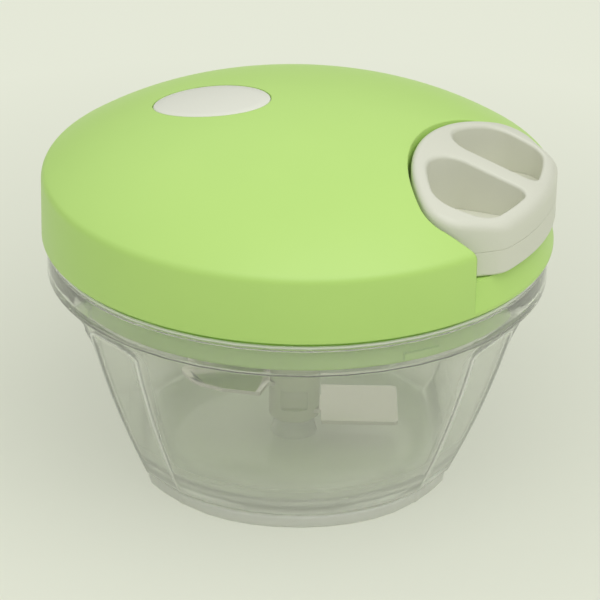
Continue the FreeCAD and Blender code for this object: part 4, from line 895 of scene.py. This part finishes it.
# %% [markdown]
# ## Carving the lid
#
# First the hollow is carved by the block that will be the dock's walls, then the dome is carved
# by what is left of the hollow, by the dock, by the wedge that leans the ledge under the handle
# inwards, by the hole for the cord and by the label's seat.

# %% Lid dome
ABOVE_LID, DOCK_FLOOR, DOCK_UNDER, DOCK_GAP, DOCK_WALL = 110, 67.5, 65.7, 0.8, 2.6
LEDGE_FOOT, LEDGE_TOP, LEDGE_OUT, LEDGE_HALF = (62.49, 60.6), (60.3, 68.5), 66, 28.6

dome = bmesh.new()
drawn = section(dome, (0, LID_TOP), dome_line(0, 6, LID_EDGE + 0.4) + [
    ((62.1, LID_EDGE + 0.4), -90, 3), (60.9, LID_EDGE), (55, LID_EDGE), (0, LID_EDGE)])
turn_on_lathe(dome, drawn, 256)
lid = make_piece(dome, "lid_dome", green_abs, "lid", ["lid_shell"])

hollow = bmesh.new()
drawn = section(hollow, (0, LID_TOP - LID_WALL),
                dome_line(LID_WALL, 4, LID_EDGE - 1) + [(0, LID_EDGE - 1)])
turn_on_lathe(hollow, drawn, 256)
room_inside = as_tool(hollow, "hollow")
carve(room_inside, [dock_tool("dock_block", DOCK_WALL, DOCK_UNDER, ABOVE_LID)])

ledge = bmesh.new()
wedge = section(ledge, LEDGE_FOOT, [(LEDGE_OUT, LEDGE_FOOT[1]), (LEDGE_OUT, LEDGE_TOP[1]),
                                    LEDGE_TOP, LEDGE_FOOT])
swivel(ledge, -LEDGE_HALF)
face = bmesh.ops.contextual_create(ledge, geom=wedge)["faces"]
bmesh.ops.spin(ledge, geom=face + wedge + list(ledge.verts), cent=(0, 0, 0), axis=UP,
               dvec=(0, 0, 0), angle=math.radians(2 * LEDGE_HALF), steps=40)

carve(lid, [
    room_inside, dock_tool("dock", DOCK_GAP, DOCK_FLOOR, ABOVE_LID, flare=0.2),
    as_tool(ledge, "ledge"), round_bar("eyelet", 3.075, (28.5, 0, CORD_HEIGHT), 8, lying=True),
    as_tool(oval(0.15, -1.0, 0.8, 0.01), "label_seat"),
])
print("lid dome carved:", len(lid.data.polygons), "faces")

# %% [markdown]
# ## The handle
#
# The handle is two mouldings screwed together. Its upper half is a frame with two finger
# pockets and a bar between them that the fingers hook round; its top follows the dome. All its
# edges are generously rounded, because it is pulled hard and fast.
#
# Each wall is a stack of outlines, one above the other, that are bridged into faces. A rounding
# is a few outlines that step in as they step up, along a quarter of a circle.

# %% Handle outlines
FACE_ROUND, END_ROUND, END_LEAN, NOSE_REACH = (52.133, 16.227), 8.0, 52, 40.7
BAR_HALF, POCKET_CORNER, POCKET_LEAN = 3, 7, 80
ROOF, ROOF_TOP = 162.0, 92.5
face_turn = math.degrees(math.atan2(FACE_ROUND[1], FACE_ROUND[0]))


def roof(x, y):
    """Height of the handle's top over a point of the plan."""
    return ROOF_TOP - ROOF + math.sqrt(ROOF ** 2 - x ** 2 - y ** 2)


def handle_plan(bm, grow, height):
    """Draws the handle's outline: nose, wide corners, slanted ends and outer face."""
    lean = math.radians(END_LEAN)
    corner, end_round = CORNER_ROUND + grow, END_ROUND + grow
    nose = (NOSE[0] - NOSE_REACH - grow, 0, 0)
    half = 180 - NOSE_TURN
    slant = (FACE_ROUND[0] + end_round * math.cos(lean), FACE_ROUND[1] + end_round * math.sin(lean))
    back = (CORNER[0] + corner * math.cos(lean), -CORNER[1] - corner * math.sin(lean))
    edges = draw(bm, nose, [
        ((*NOSE, 0), -half, 24), ((*CORNER, 0), END_LEAN - NOSE_TURN, 16), (*slant, 0),
        ((*FACE_ROUND, 0), face_turn - END_LEAN, 10), ((0, 0, 0), -2 * face_turn, 32),
        ((FACE_ROUND[0], -FACE_ROUND[1], 0), face_turn - END_LEAN, 10), (*back, 0),
        ((CORNER[0], -CORNER[1], 0), END_LEAN - NOSE_TURN, 16), ((*NOSE, 0), -half, 24),
    ], UP)
    return lifted(edges, height)


def pocket_plan(bm, grow, height, side):
    """Draws one finger pocket's outline about its four corners' centres; side is 1 or -1."""
    low, high, wide, bar = (56.0, 5.6), (49.42, 15.51), (46.01, 16.11), (42.74, 9.8)
    low_turn, high_turn = (math.degrees(math.atan2(y, x)) for x, y in (low, high))
    wide_turn, bar_turn = (math.degrees(math.atan2(y, x - NOSE[0])) for x, y in (wide, bar))
    lean, corner = math.radians(POCKET_LEAN), POCKET_CORNER + grow
    back = (wide[0] + corner * math.cos(lean), wide[1] + corner * math.sin(lean))
    moves = [(bar[0], BAR_HALF - grow), (low[0], BAR_HALF - grow), (low, 90 + low_turn, 12),
             ((0, 0), high_turn - low_turn, 8), (high, POCKET_LEAN - high_turn, 8), back,
             (wide, wide_turn - POCKET_LEAN, 8), (NOSE, bar_turn - wide_turn, 8),
             (bar, 270 - bar_turn, 12)]
    spots = placed(moves, lambda x, y: (x, y * side, 0), side)
    return lifted(draw(bm, spots[0], spots[1:], UP), height)


print("outer face spans", round(2 * face_turn, 1), "degrees")

# %% [markdown]
# The two halves meet in a fine groove, which is how moulders hide that no two mouldings are
# quite the same size. Both get a 0.1 mm chamfer there. The upper half's nose has the small hole
# where the cord goes in.

# %% Upper half
JOINT, CHAMFER, OUTER_ROUND, POCKET_ROUND = 74.0, 0.1, 1.9, 1.0
QUARTER = (0, 15, 30, 45, 60, 75, 90)


def rounded_top(plan, bm, radius, inward, *more):
    """Outlines that round a wall over into the handle's top."""
    rings = []
    for share in map(math.radians, QUARTER):
        step, drop = radius * (1 - math.cos(share)), radius * (1 - math.sin(share))
        rings.append(plan(bm, -inward * step, lambda x, y, drop=drop: roof(x, y) - drop, *more))
    return rings


upper = bmesh.new()
outer = [handle_plan(upper, -CHAMFER, JOINT), handle_plan(upper, 0, JOINT + CHAMFER)]
outer += rounded_top(handle_plan, upper, OUTER_ROUND, 1)
bottoms, tops = ([edges] for edges in stack(upper, outer))
for side in (1, -1):
    pocket = [pocket_plan(upper, 0, JOINT, side)]
    pocket += rounded_top(pocket_plan, upper, POCKET_ROUND, -1, side)
    bottom_edges, top_edges = stack(upper, pocket)
    bottoms.append(bottom_edges)
    tops.append(top_edges)
for loops, way in ((tops, 1), (bottoms, -1)):
    bmesh.ops.triangle_fill(upper, edges=sum(loops, []), use_beauty=True, normal=(0, 0, way))
handle_upper = make_piece(upper, "handle_upper", white_abs, "handle", ["handle_top"])
carve(handle_upper, [round_bar("cord_hole", 1.2, (32.5, 0, CORD_HEIGHT), 7, lying=True)])

# %% [markdown]
# The lower half closes the pockets from below. Underneath it is hollow, with a boss for the one
# screw that holds the handle together. Its wall is drawn from the hollow's ceiling down, round the
# lower edge and up the outside.

# %% Lower half
UNDERSIDE, HOLLOW_TOP, SCREW_X = 67.7, 72.0, 57.4

lower = bmesh.new()
wall = [handle_plan(lower, grow, height) for grow, height in (
    (-2.0, HOLLOW_TOP), (-2.0, UNDERSIDE + 0.2), (-1.7, UNDERSIDE), (-0.5, UNDERSIDE),
    (0, UNDERSIDE + 0.5), (0, JOINT - CHAMFER), (-CHAMFER, JOINT))]
for loop in stack(lower, wall):
    bmesh.ops.triangle_fill(lower, edges=loop, use_beauty=True)
handle_lower = make_piece(lower, "handle_lower", white_abs, "handle", ["handle_bottom"])
carve(handle_lower, [round_bar("screw_boss", 4.2, (SCREW_X, 0, 70.3), 4.8)], "UNION")
carve(handle_lower, [round_bar("head_seat", 2.85, (SCREW_X, 0, 68.2), 3),
                     round_bar("screw_hole", 1.45, (SCREW_X, 0, 72), 6)])
print("handle carved:", [len(half.data.polygons) for half in (handle_upper, handle_lower)], "faces")

# %% [markdown]
# ## The blades
#
# Each blade is punched from 1 mm strip and then ground along its cutting side, so its edge is a
# narrow bright slope. The plate is one outlined face, pushed up by its thickness; insetting the
# top face by the width of the grind and dropping the outer rim makes the slope.

# %% Blades
STRIP, EDGE_LEFT = 1.0, 0.12


def blade(name, node, outline_points, height, turned, ground, round_mm, grind):
    """A flat blade with its cutting side ground; ground tells whether a rim point is ground."""
    bm = bmesh.new()
    corner_points = [(*point, height) for point in outline_points]
    draw(bm, corner_points[0], corner_points[1:] + corner_points[:1], UP)
    corners = [v for v in bm.verts if v.co.x > 20]
    bmesh.ops.bevel(bm, geom=corners, offset=round_mm, offset_type="OFFSET", segments=5,
                    profile=0.5, affect="VERTICES", material=-1)
    base = bmesh.ops.contextual_create(bm, geom=list(bm.edges))["faces"]
    raised = bmesh.ops.extrude_face_region(bm, geom=base)["geom"]
    top_verts = only(VERT, raised)
    bmesh.ops.translate(bm, vec=(0, 0, STRIP), verts=top_verts)
    bmesh.ops.inset_region(bm, faces=only(FACE, raised), thickness=grind, depth=0,
                           use_even_offset=True, use_boundary=True)
    for vert in top_verts:
        if ground(vert.co.x, vert.co.y):
            vert.co.z = height + EDGE_LEFT
    swivel(bm, turned)
    return make_piece(bm, name, blade_steel, "blades", [node], crease=12)


tang = [(3.4, -4.0), (6.7, -4.0)]
plate = tang + [(6.7, -9.5), (25.8, -9.5), (25.8, 9.5), (6.7, 9.5), (6.7, 4.0), (3.4, 4.0)]
swept = tang + [(8.5, -7.5), (29.4, -3.6), (25.0, 4.2), (18.0, 7.6), (8.5, 9.5),
                (6.7, 4.0), (3.4, 4.0)]
blade("low_blade", "blade_lower", plate, 12.2, 19.5, lambda x, y: y > 9 or x > 25, 1.3, 1.2)
blade("middle_blade", "blade_middle", swept, 19.5, 199.5, lambda x, y: x > 8 and y > 0, 2.6, 1.8)
blade("high_blade", "blade_upper", swept, 31.0, 109.5, lambda x, y: x > 8 and y > 0, 2.6, 1.8)

# %% [markdown]
# ## The pull cord
#
# Parked, only a short run of cord joins the spool to the handle, through the guide in the dock's
# wall. When the handle is pulled, that run is what is seen. Here it is one straight run along x,
# attached to no body.

# %% Pull cord
CORD_FROM, CORD_STEP, CORD_STEPS = 22.0, 0.5, 28

cord = bmesh.new()
lying = Matrix.Translation((CORD_FROM, 0, CORD_HEIGHT)) @ Matrix.Rotation(math.pi / 2, 4, "Y")
bmesh.ops.create_circle(cord, cap_ends=True, segments=24, radius=CORD_RADIUS, matrix=lying)
for step in range(CORD_STEPS):
    front = CORD_FROM + step * CORD_STEP - 0.01
    ends = [face for face in cord.faces
            if face.calc_center_median().x > front and abs(face.normal.x) > 0.9]
    pushed = bmesh.ops.extrude_face_region(cord, geom=ends)["geom"]
    bmesh.ops.translate(cord, vec=(CORD_STEP, 0, 0), verts=only(VERT, pushed))
    if step:
        bmesh.ops.delete(cord, geom=ends, context="FACES_ONLY")
pull = make_piece(cord, "braided_cord", braided_nylon, None, ["pull_cord"])
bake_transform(pull)
